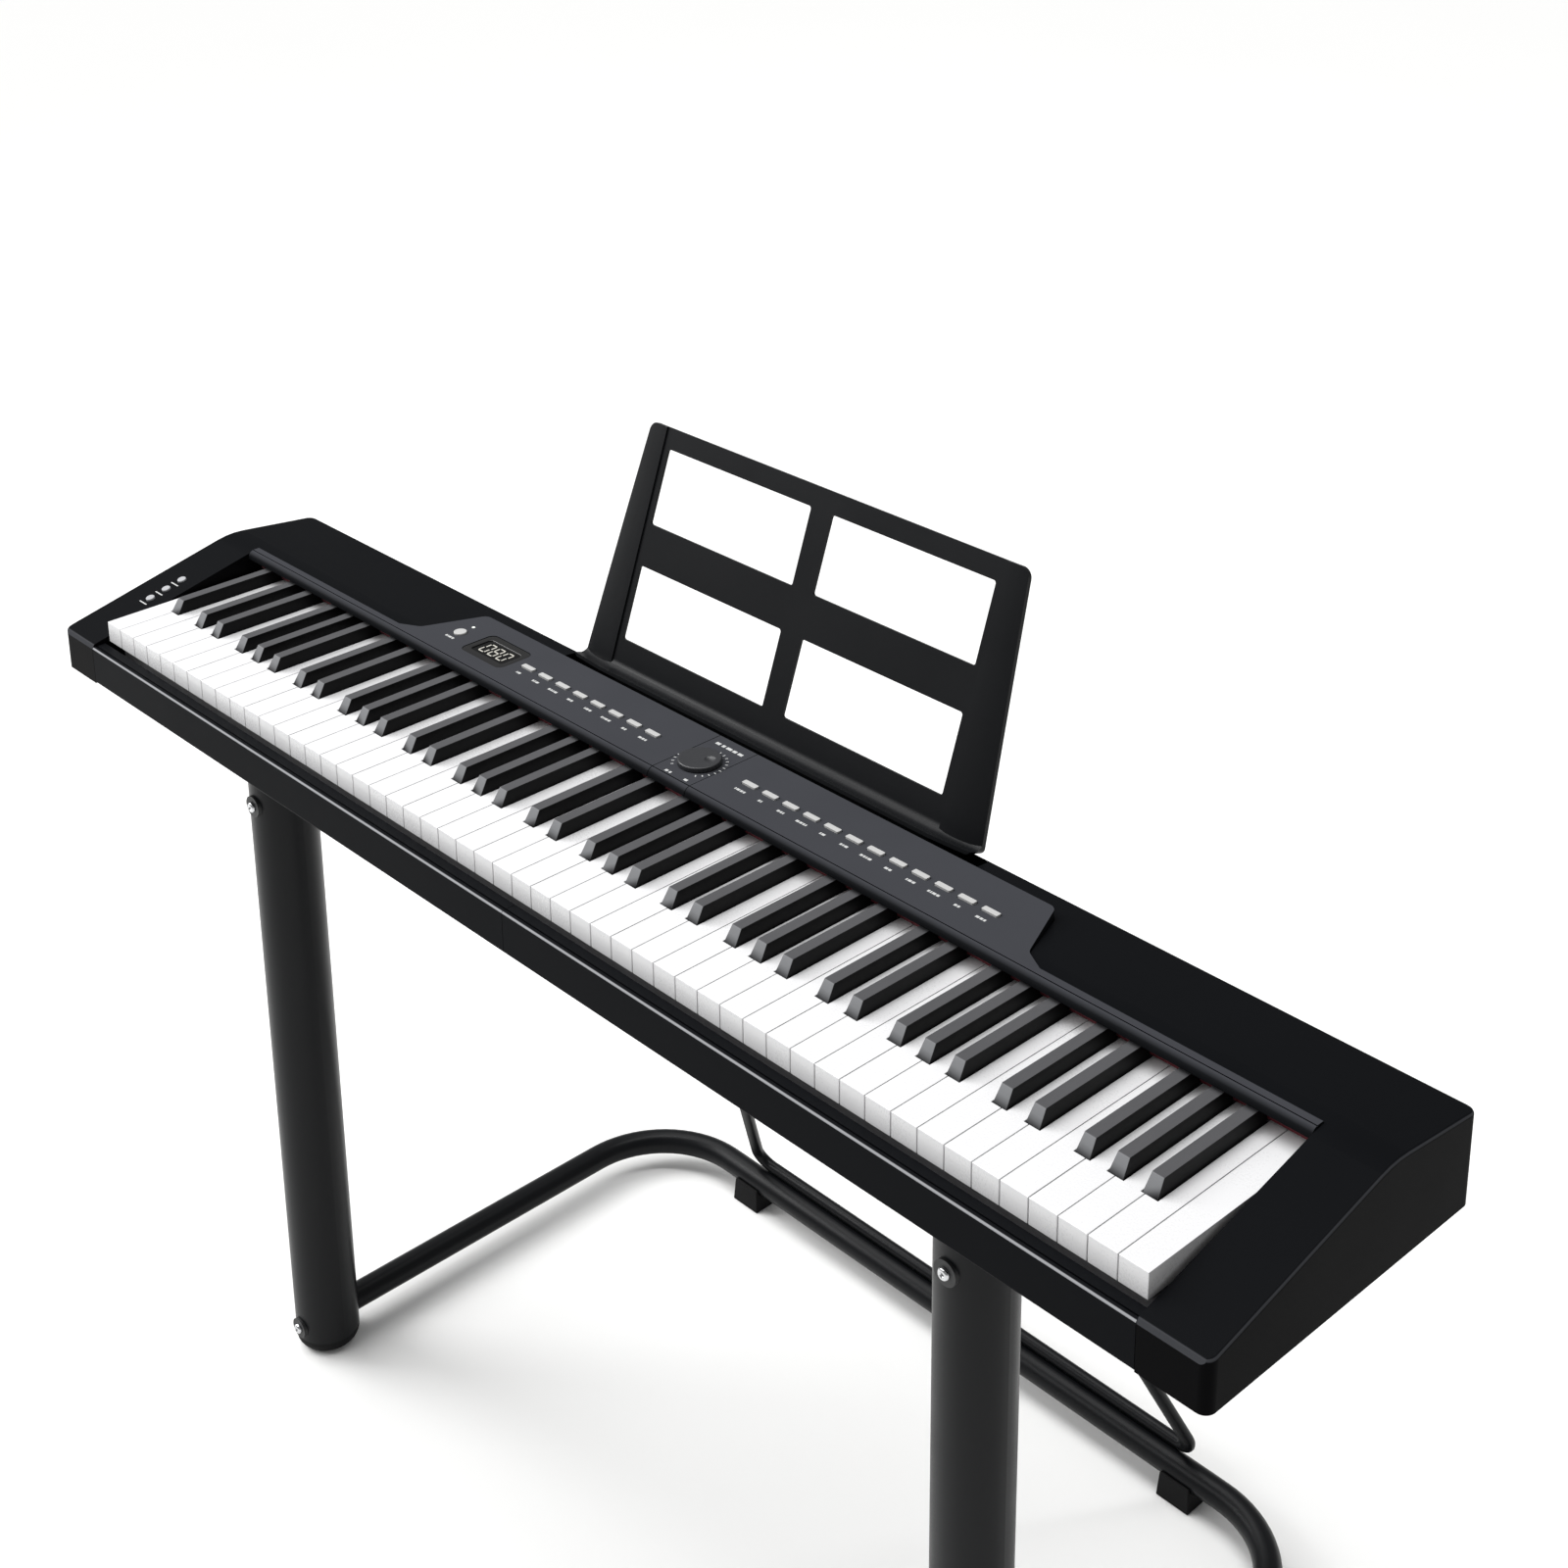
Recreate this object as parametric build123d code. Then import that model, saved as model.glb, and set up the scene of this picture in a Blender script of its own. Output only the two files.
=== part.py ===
"""Digital piano with 88 hinged keys on a stand of two round legs and a bent floor tube.

Frame: +X runs to the treble end, -Y faces the player, +Z is up.
The origin is on the floor, under the middle of the object's box.
Lengths are in millimetres. Distances named *_f are measured back from the body's front face.
"""
from build123d import *
import math
import os

# ---- overall sizes -------------------------------------------------------------
KEY_TOP_Z = 722.0          # white key tops above the floor
BODY_WIDTH = 1336.0        # over both end caps
BODY_DEPTH = 273.0         # front rail to back wall
BODY_BELOW_KEYS = 58.5     # key tops down to the case's underside
WALL = 3.0                 # moulded casings
FIT_GAP = 0.5              # between moulded pieces that stand side by side
MOVING_GAP = 0.8           # between a moving piece and what it passes

# ---- stand ---------------------------------------------------------------------
LEG_OD = 60.0
LEG_WALL = 1.6
LEG_X = 424.0              # leg axes either side of the middle
LEG_F = 74.0
FLOOR_TUBE_OD = 25.0
FLOOR_TUBE_WALL = 1.5
FLOOR_TUBE_F = 511.0       # axis of the rear run
FLOOR_TUBE_BEND = 100.0
FLOOR_TUBE_PLUG = 12.0     # threaded plug in each end
BRACE_OD = 12.0
BRACE_FOOT_X = 288.0       # brace corners on the rear run
BRACE_TOP_X = 113.0        # brace ends under the body
BRACE_TOP_F = 250.0
BRACE_BEND = 16.0
BRACE_PLATE = (34.0, 26.0, 3.0)
BLOCK_SIZE = (36.0, 34.0)  # rubber blocks under the rear run
FOOT_CAP_HEIGHT = 14.0
FOOT_CAP_GAP = 0.5         # between a foot cap and the floor tube's plug
FOOT_CAP_EDGE = 12.5
SOCKET_LENGTH = 96.0       # plugs that hold the leg tops
SOCKET_WALL = 6.0
SOCKET_FLANGE = (84.0, 5.0)
UPPER_BOLT_DROP = 68.0     # below the case's underside
BOLT_OD = 6.0
BOLT_LENGTH = 22.0
BOLT_HEAD = (10.0, 3.0)
WASHER = (20.0, 4.0)

# ---- casing --------------------------------------------------------------------
CAP_WIDTH = 53.0
RAIL_DEPTH = 13.0
RAIL_TOP_DROP = 22.0       # below the key tops
RAIL_SEAM_X = 7.0
SLOPE_START_DROP = 20.0
KNEE_F = 180.0             # where the sloping end block meets the flat top
KNEE_RISE = 22.0           # above the key tops
KNEE_RADIUS = 80.0
BACK_RISE = 11.0
CAP_CORNER = 8.0           # plan corners of the end blocks
CAP_EDGE = 2.4
LIP_F = 168.0              # front edge of the panel over the keys
LIP_DROP = 7.5
BOTTOM_THICK = 3.0
CASE_SPLIT_Z = 24.0        # bottom tray's wall height

# ---- control panel -------------------------------------------------------------
PANEL_BACK_F = 246.0
PANEL_SIDE_F = 190.0
PANEL_FRONT_X = 381.0
PANEL_SIDE_X = 362.0
PANEL_BACK_X = 338.0
PANEL_SIDE_RADIUS = 10.0   # plan corners of the raised panel
PANEL_BACK_RADIUS = 8.0
STRIP_GROOVE = (173.2, 0.7, 0.9)   # front edge, width and depth of the line along the strip
TILE_X = 0.0               # middle tile that carries the dial
TILE_WIDTH = 45.5
CONTROL_F = 208.0
BUTTON_SIZE = (15.0, 5.0)
BUTTON_STAND = 1.4
BUTTON_DEPTH = 5.0
BUTTON_TRAVEL = 0.8
LEFT_ROW_X = -227.8
LEFT_ROW_PITCH = 23.6
LEFT_ROW_COUNT = 8
RIGHT_ROW_X = 55.6
RIGHT_ROW_PITCH = 23.15
RIGHT_ROW_COUNT = 12
POWER_X = -327.1
POWER_OD = 11.8
LED_F = 222.5
LED_OD = 3.0
BEZEL_X = -274.2
BEZEL_SIZE = (58.0, 38.0)
BEZEL_CORNER = 7.0
WINDOW_SIZE = (45.0, 23.0)
WINDOW_CORNER = 3.0
DIAL_OD = 36.0
DIAL_F = 204.0
DIAL_HEIGHT = 3.8
DIAL_SHAFT_OD = 6.0
CAP_BUTTON_INSET = 33.0    # from the end block's outer face
CAP_BUTTON_F = 90.0
CAP_BUTTON_PITCH = 17.0
CAP_BUTTON_OD = 8.4
CAP_BUTTON_COUNT = 3

# ---- keyboard ------------------------------------------------------------------
WHITE_PITCH = 23.5
KEY_SPACE = 0.8
WHITE_COUNT = 52
KEY_FRONT_F = 15.7
WHITE_HEAD = 54.5
WHITE_HEIGHT = 19.5
TAIL_HEIGHT = 14.0
BLACK_BASE = 11.8
BLACK_TOP = 9.4
BLACK_RISE = 11.5
BLACK_FRONT_LEAN = 7.0
KEY_END_F = 246.0
HINGE_F = 240.0
HINGE_DROP = 9.0           # below the key tops
HINGE_ROD_OD = 4.0
HINGE_CLEARANCE = 0.05

# ---- music rest ----------------------------------------------------------------
REST_X = 5.0               # middle of the rest
REST_F = 271.0             # front face, level with the control panel
REST_TILT = 19.6           # degrees from upright
REST_HEIGHT = 209.0
REST_PLATE = 2.6
REST_FOLD_X = 196.0        # folds between plate and side wings
REST_TOP_X = 218.0
REST_BOTTOM_X = 236.0
REST_FOLD = 8.0            # degrees the wings turn back
REST_WINDOW_X = (12.0, 190.0)
REST_WINDOW_V = ((21.0, 87.0), (124.0, 191.0))
REST_CORNER = 9.0
REST_BEAD = (1.4, 2.2)     # step at the folds and crown of the wings
REST_LEDGE_V = -6.2        # top of the ledge, down the plate
REST_LEDGE = (14.0, 3.0)
REST_LEDGE_FILLET = 8.0
REST_FOOT = (376.0, 20.0)  # width and depth of the part that stands in the trough
TROUGH_X = 246.0
TROUGH_F = (254.0, 270.9)
TROUGH_DEPTH = 11.0
TROUGH_WALL = 2.0

# ---- inside --------------------------------------------------------------------
CHASSIS_THICK = 1.5
BOARD_THICK = 1.6
CONTACT_BOARD_F = (118.0, 168.0)
CONTACT_BOARD_RISE = 12.0
STOP_FELT_F = (30.0, 46.0)
SPEAKER_SIZE = (118.0, 58.0)
SPEAKER_X = 500.0
SPEAKER_F = 208.0
SPEAKER_MAGNET = (40.0, 14.0)
SPEAKER_SLOT_PITCH = 9.0
JACK_X = (-260.0, -225.0, -190.0)
JACK_OD = 11.0
JACK_BORE = 6.5
JACK_LENGTH = 18.0
JACK_DROP = 22.0           # below the key tops
INLET_X = 260.0
INLET_SIZE = (12.0, 11.0)
INLET_BORE = 6.0
SCREW_OD = 6.5
SCREW_HEIGHT = 2.2

# ---- values that follow ----------------------------------------------------------
HALF = BODY_WIDTH / 2
OVERALL_DEPTH = FLOOR_TUBE_F + BLOCK_SIZE[1] / 2
FRONT_Y = -OVERALL_DEPTH / 2
FLOOR_TUBE_Z = FOOT_CAP_HEIGHT + FOOT_CAP_GAP + FLOOR_TUBE_OD / 2
BOTTOM_Z = KEY_TOP_Z - BODY_BELOW_KEYS
CAP_INNER = HALF - CAP_WIDTH
KNEE_Z = KEY_TOP_Z + KNEE_RISE
BACK_Z = KEY_TOP_Z + BACK_RISE
PANEL_TOP_Z = KNEE_Z
RAIL_TOP_Z = KEY_TOP_Z - RAIL_TOP_DROP
SLOPE_START_Z = KEY_TOP_Z - SLOPE_START_DROP
SPLIT_Z = BOTTOM_Z + CASE_SPLIT_Z
HINGE_Y = FRONT_Y + HINGE_F
HINGE_Z = KEY_TOP_Z - HINGE_DROP
KEYS_LEFT = -WHITE_PITCH * WHITE_COUNT / 2
CHASSIS_Z = BOTTOM_Z + BOTTOM_THICK
RIB_Z = KNEE_Z - LIP_DROP - MOVING_GAP
SLOPE_ANGLE = math.degrees(math.atan2(KNEE_Z - SLOPE_START_Z, KNEE_F))


def fy(distance):
    """Y of a distance measured back from the body's front face."""
    return FRONT_Y + distance


def block(x0, x1, f0, f1, z0, z1):
    """A box between two X, two distances from the front and two heights."""
    centre = ((x0 + x1) / 2, fy((f0 + f1) / 2), (z0 + z1) / 2)
    return Pos(*centre) * Box(x1 - x0, f1 - f0, z1 - z0)


def profile_x(points, x0, x1):
    """A side profile of (distance, height) points drawn from x0 to x1."""
    outline = Polyline(*[(fy(f), z) for f, z in points], close=True)
    face = Plane.YZ * make_face(outline)
    return Pos(x0, 0, 0) * extrude(face, x1 - x0)


def plan_z(points, z0, z1):
    """A plan outline of (x, distance) points drawn from z0 up to z1."""
    outline = Polyline(*[(x, fy(f)) for x, f in points], close=True)
    return Pos(0, 0, z0) * extrude(make_face(outline), z1 - z0)


def rod_x(radius, x0, x1, f, z):
    """A round bar along X."""
    return Pos((x0 + x1) / 2, fy(f), z) * Rot(0, 90, 0) * Cylinder(radius, x1 - x0)


def rod_y(radius, f0, f1, x, z):
    """A round bar along Y."""
    return Pos(x, fy((f0 + f1) / 2), z) * Rot(90, 0, 0) * Cylinder(radius, f1 - f0)


def rod_z(radius, z0, z1, x, f):
    """A round bar along Z."""
    return Pos(x, fy(f), (z0 + z1) / 2) * Cylinder(radius, z1 - z0)


def top_z(f):
    """Height of the casing's top behind the knee."""
    return KNEE_Z + (BACK_Z - KNEE_Z) * (f - KNEE_F) / (BODY_DEPTH - KNEE_F)


def slope_z(f):
    """Height of an end cap's slope in front of the knee."""
    return SLOPE_START_Z + (KNEE_Z - SLOPE_START_Z) * f / KNEE_F


NODES = {}


def node(name, *solids):
    """Keep the solids of one sub-part under its name."""
    NODES[name] = solids[0] if len(solids) == 1 else Compound(children=list(solids))


# ---- keyboard ------------------------------------------------------------------
OCTAVE = "c c_sharp d d_sharp e f f_sharp g g_sharp a a_sharp b".split()
WHITE_IN_OCTAVE = {"c": 0, "d": 1, "e": 2, "f": 3, "g": 4, "a": 5, "b": 6}
BLACK_CENTRE = {
    "c_sharp": 1.5 * 3 / 5, "d_sharp": 3.5 * 3 / 5,
    "f_sharp": 3 + 1.5 * 4 / 7, "g_sharp": 3 + 3.5 * 4 / 7, "a_sharp": 3 + 5.5 * 4 / 7,
}
LOWEST_KEY = 9             # the keyboard starts on an A
KEY_COUNT = 88


def octave_start(index):
    """Left edge of the octave that holds key number index."""
    octaves_from_first_c = (index + LOWEST_KEY) // 12 - 1
    return KEYS_LEFT + WHITE_PITCH * (2 + 7 * octaves_from_first_c)


def black_centre(index):
    """Middle of a black key, or None where key number index is white or missing."""
    letter = OCTAVE[(index + LOWEST_KEY) % 12]
    if letter not in BLACK_CENTRE or not 0 <= index < KEY_COUNT:
        return None
    return octave_start(index) + WHITE_PITCH * BLACK_CENTRE[letter]


def hinge_hole(x0, x1):
    """The bore that runs on the hinge rod."""
    radius = HINGE_ROD_OD / 2 + HINGE_CLEARANCE
    return rod_x(radius, x0 - 1, x1 + 1, HINGE_F, HINGE_Z)


def white_key(index):
    """A wide head and a narrow tail that passes between the black keys."""
    letter = OCTAVE[(index + LOWEST_KEY) % 12]
    left = octave_start(index) + WHITE_PITCH * WHITE_IN_OCTAVE[letter]
    x0 = left + KEY_SPACE / 2
    x1 = left + WHITE_PITCH - KEY_SPACE / 2
    below = black_centre(index - 1)
    above = black_centre(index + 1)
    t0 = x0 if below is None else below + BLACK_BASE / 2 + KEY_SPACE
    t1 = x1 if above is None else above - BLACK_BASE / 2 - KEY_SPACE
    head_end = KEY_FRONT_F + WHITE_HEAD - KEY_SPACE
    head = block(x0, x1, KEY_FRONT_F, head_end, KEY_TOP_Z - WHITE_HEIGHT, KEY_TOP_Z)
    tail = block(t0, t1, head_end, KEY_END_F, KEY_TOP_Z - TAIL_HEIGHT, KEY_TOP_Z)
    return head + tail - hinge_hole(t0, t1)


def black_key(index):
    """A raised key with sloping sides and a leaning front."""
    x = black_centre(index)
    front = KEY_FRONT_F + WHITE_HEAD
    top = KEY_TOP_Z + BLACK_RISE
    base = KEY_TOP_Z - TAIL_HEIGHT
    side = [(front, base), (front, KEY_TOP_Z), (front + BLACK_FRONT_LEAN, top)]
    side += [(LIP_F + 12, top), (LIP_F + 12, KEY_TOP_Z), (KEY_END_F, KEY_TOP_Z), (KEY_END_F, base)]
    body = profile_x(side, x - BLACK_BASE / 2, x + BLACK_BASE / 2)
    lean = (BLACK_BASE - BLACK_TOP) / 2
    for sign in (-1, 1):
        edge = x + sign * BLACK_BASE / 2
        wedge = Polyline((edge, KEY_TOP_Z), (edge, top + 1), (edge - sign * lean, top + 1), close=True)
        cut = extrude(Plane.XZ * make_face(wedge), -400)
        body -= Pos(0, fy(0), 0) * cut
    return body - hinge_hole(x - BLACK_BASE / 2, x + BLACK_BASE / 2)


def keys():
    """Twelve groups of keys, one for each note of the octave."""
    groups = {letter: [] for letter in OCTAVE}
    for index in range(KEY_COUNT):
        letter = OCTAVE[(index + LOWEST_KEY) % 12]
        key = black_key(index) if letter in BLACK_CENTRE else white_key(index)
        groups[letter].append(key)
    for letter, solids in groups.items():
        node("keys_" + letter, *solids)


def keybed():
    """Chassis, hinge rod, felts, contact board and rubber contact strip."""
    x0 = -CAP_INNER + FIT_GAP
    x1 = CAP_INNER - FIT_GAP
    hinge_post_top = HINGE_Z + HINGE_ROD_OD
    back = KEY_END_F + 2
    floor = CHASSIS_Z + CHASSIS_THICK
    chassis = block(x0, x1, 22, back + CHASSIS_THICK, CHASSIS_Z, floor)
    chassis += block(x0, x1, back, back + CHASSIS_THICK, CHASSIS_Z, hinge_post_top)
    half = SPEAKER_SIZE[0] / 2 + FIT_GAP
    for sign in (-1, 1):
        ear = sign * (CAP_INNER - FIT_GAP - CHASSIS_THICK / 2)
        side = CHASSIS_THICK / 2
        chassis += block(ear - side, ear + side, HINGE_F - 8, back, CHASSIS_Z, hinge_post_top)
        x = sign * SPEAKER_X
        near, far = SPEAKER_F - SPEAKER_SIZE[1] / 2 - FIT_GAP, SPEAKER_F + SPEAKER_SIZE[1] / 2 + FIT_GAP
        chassis -= block(x - half, x + half, near, far, CHASSIS_Z - 1, floor + 1)
    chassis -= rod_x(HINGE_ROD_OD / 2, x0 - 1, x1 + 1, HINGE_F, HINGE_Z)
    node("key_chassis", chassis)
    node("key_hinge_rod", rod_x(HINGE_ROD_OD / 2, x0, x1, HINGE_F, HINGE_Z))
    stop_top = KEY_TOP_Z - WHITE_HEIGHT - 12
    node("key_stop_felt", block(KEYS_LEFT, -KEYS_LEFT, *STOP_FELT_F, floor, stop_top))
    board_z = floor + CONTACT_BOARD_RISE
    board = block(KEYS_LEFT, -KEYS_LEFT, *CONTACT_BOARD_F, board_z, board_z + BOARD_THICK)
    middle = sum(CONTACT_BOARD_F) / 2
    for i in range(-4, 5):
        board += block(150 * i - 3, 150 * i + 3, middle - 3, middle + 3, floor, board_z)
    node("contact_board", board)
    strip_top = KEY_TOP_Z - TAIL_HEIGHT - 7
    strip_low = board_z + BOARD_THICK
    node("contact_strip", block(KEYS_LEFT, -KEYS_LEFT, middle - 8, middle + 8, strip_low, strip_top))
    node("name_felt", block(x0, x1, KNEE_F + 1, KNEE_F + 4, KEY_TOP_Z + 1.2, RIB_Z))


# ---- casing --------------------------------------------------------------------
def upper_blank():
    """Side profile of the whole upper moulding, with its outer edges rounded."""
    outline = [(0, BOTTOM_Z), (0, RAIL_TOP_Z - 2), (2, SLOPE_START_Z), (KNEE_F, KNEE_Z)]
    outline += [(BODY_DEPTH, BACK_Z), (BODY_DEPTH, BOTTOM_Z)]
    blank = profile_x(outline, -HALF, HALF)
    knee = blank.edges().filter_by(Axis.X).sort_by(Axis.Z)[-1]
    blank = fillet(knee, KNEE_RADIUS)
    blank = fillet(blank.edges().filter_by(Axis.Z), CAP_CORNER)
    rim = blank.edges().filter_by(lambda e: e.center().Z > SLOPE_START_Z - 1)
    rim = rim.filter_by(lambda e: abs(e.center().X) > 1 or abs(e.center().Y - fy(KNEE_F)) > 2 * CAP_WIDTH / 3)
    return fillet(rim, CAP_EDGE)


def cap_hollow(sign):
    """Room inside one end block, open below."""
    hollow = [(WALL, BOTTOM_Z - 1), (WALL, SLOPE_START_Z - WALL), (KNEE_F, KNEE_Z - WALL - 1.4)]
    hollow += [(BODY_DEPTH - WALL, BACK_Z - WALL - 0.4), (BODY_DEPTH - WALL, BOTTOM_Z - 1)]
    x0, x1 = sorted((sign * (CAP_INNER + WALL), sign * (HALF - WALL)))
    return profile_x(hollow, x0, x1)


def middle_hollow():
    """Room between the end blocks: the keyboard's opening and the space behind it."""
    edge = KNEE_F + FIT_GAP
    room = [(edge + WALL, BOTTOM_Z - 1), (edge + WALL, top_z(edge + WALL) - WALL)]
    room += [(BODY_DEPTH - WALL, BACK_Z - WALL), (BODY_DEPTH - WALL, BOTTOM_Z - 1)]
    hollow = profile_x(room, -CAP_INNER, CAP_INNER)
    hollow += block(-CAP_INNER, CAP_INNER, -1, edge, BOTTOM_Z - 1, KNEE_Z + 1)
    reach = CAP_INNER + WALL + 1
    hollow += block(-reach, reach, RAIL_DEPTH, BODY_DEPTH - WALL, BOTTOM_Z - 1, CHASSIS_Z + FIT_GAP)
    hollow += block(-CAP_INNER, CAP_INNER, edge - 1, edge + WALL + 1, BOTTOM_Z - 1, RIB_Z)
    return hollow + block(-CAP_INNER, CAP_INNER, edge, BODY_DEPTH + 1, BOTTOM_Z - 1, SPLIT_Z + FIT_GAP)


def cap_button_places():
    """Centres of the round buttons on the left end cap's slope."""
    start = CAP_BUTTON_F - CAP_BUTTON_PITCH * (CAP_BUTTON_COUNT - 1) / 2
    x = CAP_BUTTON_INSET - HALF
    return [(x, start + CAP_BUTTON_PITCH * i) for i in range(CAP_BUTTON_COUNT)]


def cap_frame(x, f):
    """A place on the slope, with its Z along the slope's normal."""
    return Pos(x, fy(f), slope_z(f)) * Rot(SLOPE_ANGLE, 0, 0)


def bottom_case():
    """Tray between the end blocks, its floor reaching under them, with slots under the speakers."""
    x = CAP_INNER - FIT_GAP
    front = RAIL_DEPTH + FIT_GAP
    tray = block(-x, x, front, BODY_DEPTH, BOTTOM_Z, SPLIT_Z)
    tray -= block(-x - 1, x + 1, front + WALL, BODY_DEPTH - WALL, BOTTOM_Z + BOTTOM_THICK, SPLIT_Z + 1)
    reach = HALF - WALL - FIT_GAP
    inset = WALL + FIT_GAP
    for sign in (-1, 1):
        near, far = sorted((sign * x, sign * reach))
        floor_x = near - 1 if sign > 0 else near, far + 1 if sign < 0 else far
        tray += block(*floor_x, front, BODY_DEPTH - inset, BOTTOM_Z, BOTTOM_Z + BOTTOM_THICK)
        near, far = sorted((sign * (CAP_INNER + inset), sign * reach))
        tray += block(near, far, inset, front + 1, BOTTOM_Z, BOTTOM_Z + BOTTOM_THICK)
        for i in range(-5, 6):
            slot_x = sign * SPEAKER_X + i * SPEAKER_SLOT_PITCH
            half = SPEAKER_SIZE[1] / 2 - 6
            near, far = SPEAKER_F - half, SPEAKER_F + half
            tray -= block(slot_x - 2, slot_x + 2, near, far, BOTTOM_Z - 1, BOTTOM_Z + BOTTOM_THICK + 1)
    return tray


def front_rails():
    """Two front strips that meet near the middle, each a hollow channel."""
    ends = {"left": (-CAP_INNER + FIT_GAP, RAIL_SEAM_X - FIT_GAP / 2),
            "right": (RAIL_SEAM_X + FIT_GAP / 2, CAP_INNER - FIT_GAP)}
    for name, (x0, x1) in ends.items():
        rail = block(x0, x1, 0, RAIL_DEPTH, BOTTOM_Z, RAIL_TOP_Z)
        front = rail.edges().filter_by(Axis.X).sort_by(Axis.Y)[:2]
        rail = fillet(front, 2.4)
        groove = block(x0 - 1, x1 + 1, 3.4, 4.8, RAIL_TOP_Z - 2.0, RAIL_TOP_Z + 1)
        hollow = block(x0 - 1, x1 + 1, WALL, RAIL_DEPTH + 1, BOTTOM_Z + WALL, RAIL_TOP_Z - WALL - 2)
        node("front_rail_" + name, rail - groove - hollow)


def top_case():
    """Upper moulding: end blocks, falling top, back wall and the trough of the music rest."""
    shell = upper_blank() - cap_hollow(-1) - cap_hollow(1) - middle_hollow()
    near, far = TROUGH_F
    low = BACK_Z - TROUGH_DEPTH
    left, right = REST_X - TROUGH_X, REST_X + TROUGH_X
    wall = TROUGH_WALL
    shell += block(left - wall, right + wall, near - wall, BODY_DEPTH - wall, low - wall, BACK_Z)
    shell -= block(left, right, near, far, low, KNEE_Z)
    shell -= panel_block(FIT_GAP, BACK_Z - 8, KNEE_Z + 5)
    for jack in JACK_X:
        shell -= rod_y(JACK_OD / 2 + 0.1, BODY_DEPTH - 6, BODY_DEPTH + 2, jack, KEY_TOP_Z - JACK_DROP)
    half = INLET_SIZE[0] / 2 + 0.1
    drop = KEY_TOP_Z - JACK_DROP
    shell -= block(INLET_X - half, INLET_X + half, BODY_DEPTH - 6, BODY_DEPTH + 2, drop - half, drop + half)
    for x, f in cap_button_places():
        shell -= cap_frame(x, f) * Cylinder(CAP_BUTTON_OD / 2 + MOVING_GAP / 2, 30)
    return shell


def panel_plan(grow):
    """Plan outline of the raised control panel, grown all round by grow."""
    right = [(PANEL_FRONT_X + 3 * grow, KNEE_F - grow), (PANEL_SIDE_X + 1.2 * grow, PANEL_SIDE_F + grow)]
    right += [(PANEL_BACK_X + grow, PANEL_BACK_F + grow)]
    return [(-x, f) for x, f in right] + [(x, f) for x, f in reversed(right)]


def panel_block(grow, z0, z1):
    """The raised panel's plan as a solid, with its side and back corners rounded."""
    solid = plan_z(panel_plan(grow), z0, z1)
    corners = solid.edges().filter_by(Axis.Z)
    side = corners.filter_by(lambda e: abs(e.center().Y - fy(PANEL_SIDE_F + grow)) < 1)
    solid = fillet(side, PANEL_SIDE_RADIUS - grow)
    back = solid.edges().filter_by(Axis.Z).filter_by(lambda e: e.center().Y > fy(PANEL_BACK_F) - 1)
    return fillet(back, PANEL_BACK_RADIUS + grow)


def panel_blank():
    """Raised panel and the strip along the keys, before it is parted at the tile."""
    deck = panel_block(0, RIB_Z, PANEL_TOP_Z)
    room = [(x, min(max(f, KNEE_F + WALL), PANEL_BACK_F - WALL)) for x, f in panel_plan(-WALL)]
    deck -= plan_z(room, RIB_Z - 1, PANEL_TOP_Z - WALL)
    edge = CAP_INNER - FIT_GAP
    groove, wide, deep = STRIP_GROOVE
    drops = [(LIP_F, LIP_DROP), (LIP_F, 4.8), (LIP_F + 0.8, 3.2), (LIP_F + 2.6, 1.2), (groove - 0.4, 0.3)]
    drops += [(groove, 0.3), (groove, deep), (groove + wide, deep), (groove + wide, 0)]
    drops += [(KNEE_F, 0), (KNEE_F, WALL), (LIP_F + WALL, WALL + 0.6), (LIP_F + WALL, LIP_DROP)]
    return deck + profile_x([(f, PANEL_TOP_Z - drop) for f, drop in drops], -edge, edge)


def row_places():
    """Centres of the rectangular buttons: the left row, then the right row."""
    left = [LEFT_ROW_X + LEFT_ROW_PITCH * i for i in range(LEFT_ROW_COUNT)]
    right = [RIGHT_ROW_X + RIGHT_ROW_PITCH * i for i in range(RIGHT_ROW_COUNT)]
    return left + right


def display_block(size, corner, z0, z1):
    """A block round the display's middle with rounded plan corners."""
    x, f = size[0] / 2, size[1] / 2
    solid = block(BEZEL_X - x, BEZEL_X + x, CONTROL_F - f, CONTROL_F + f, z0, z1)
    return fillet(solid.edges().filter_by(Axis.Z), corner)


def panel_holes():
    """Openings of the buttons, the display, the lamp and the dial."""
    low = BACK_Z - 10
    high = PANEL_TOP_Z + 5
    half_x = BUTTON_SIZE[0] / 2 + MOVING_GAP / 2
    half_f = BUTTON_SIZE[1] / 2 + MOVING_GAP / 2
    near, far = CONTROL_F - half_f, CONTROL_F + half_f
    holes = [block(x - half_x, x + half_x, near, far, low, high) for x in row_places()]
    holes.append(rod_z(POWER_OD / 2 + MOVING_GAP / 2, low, high, POWER_X, CONTROL_F))
    holes.append(rod_z(LED_OD / 2, low, high, POWER_X, LED_F))
    holes.append(rod_z(DIAL_SHAFT_OD / 2 + MOVING_GAP / 2, low, high, TILE_X, DIAL_F))
    holes.append(display_block(BEZEL_SIZE, BEZEL_CORNER, low, high))
    return holes


def control_panel():
    """Left panel, right panel and the middle tile, with their openings."""
    blank = panel_blank()
    for hole in panel_holes():
        blank -= hole
    t0 = TILE_X - TILE_WIDTH / 2
    t1 = TILE_X + TILE_WIDTH / 2
    spans = {"control_panel_left": (-HALF, t0), "control_panel_right": (t1, HALF),
             "control_panel_middle": (t0 + FIT_GAP, t1 - FIT_GAP)}
    for name, (x0, x1) in spans.items():
        node(name, blank & block(x0, x1, 0, BODY_DEPTH, BOTTOM_Z, PANEL_TOP_Z + 1))


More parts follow.
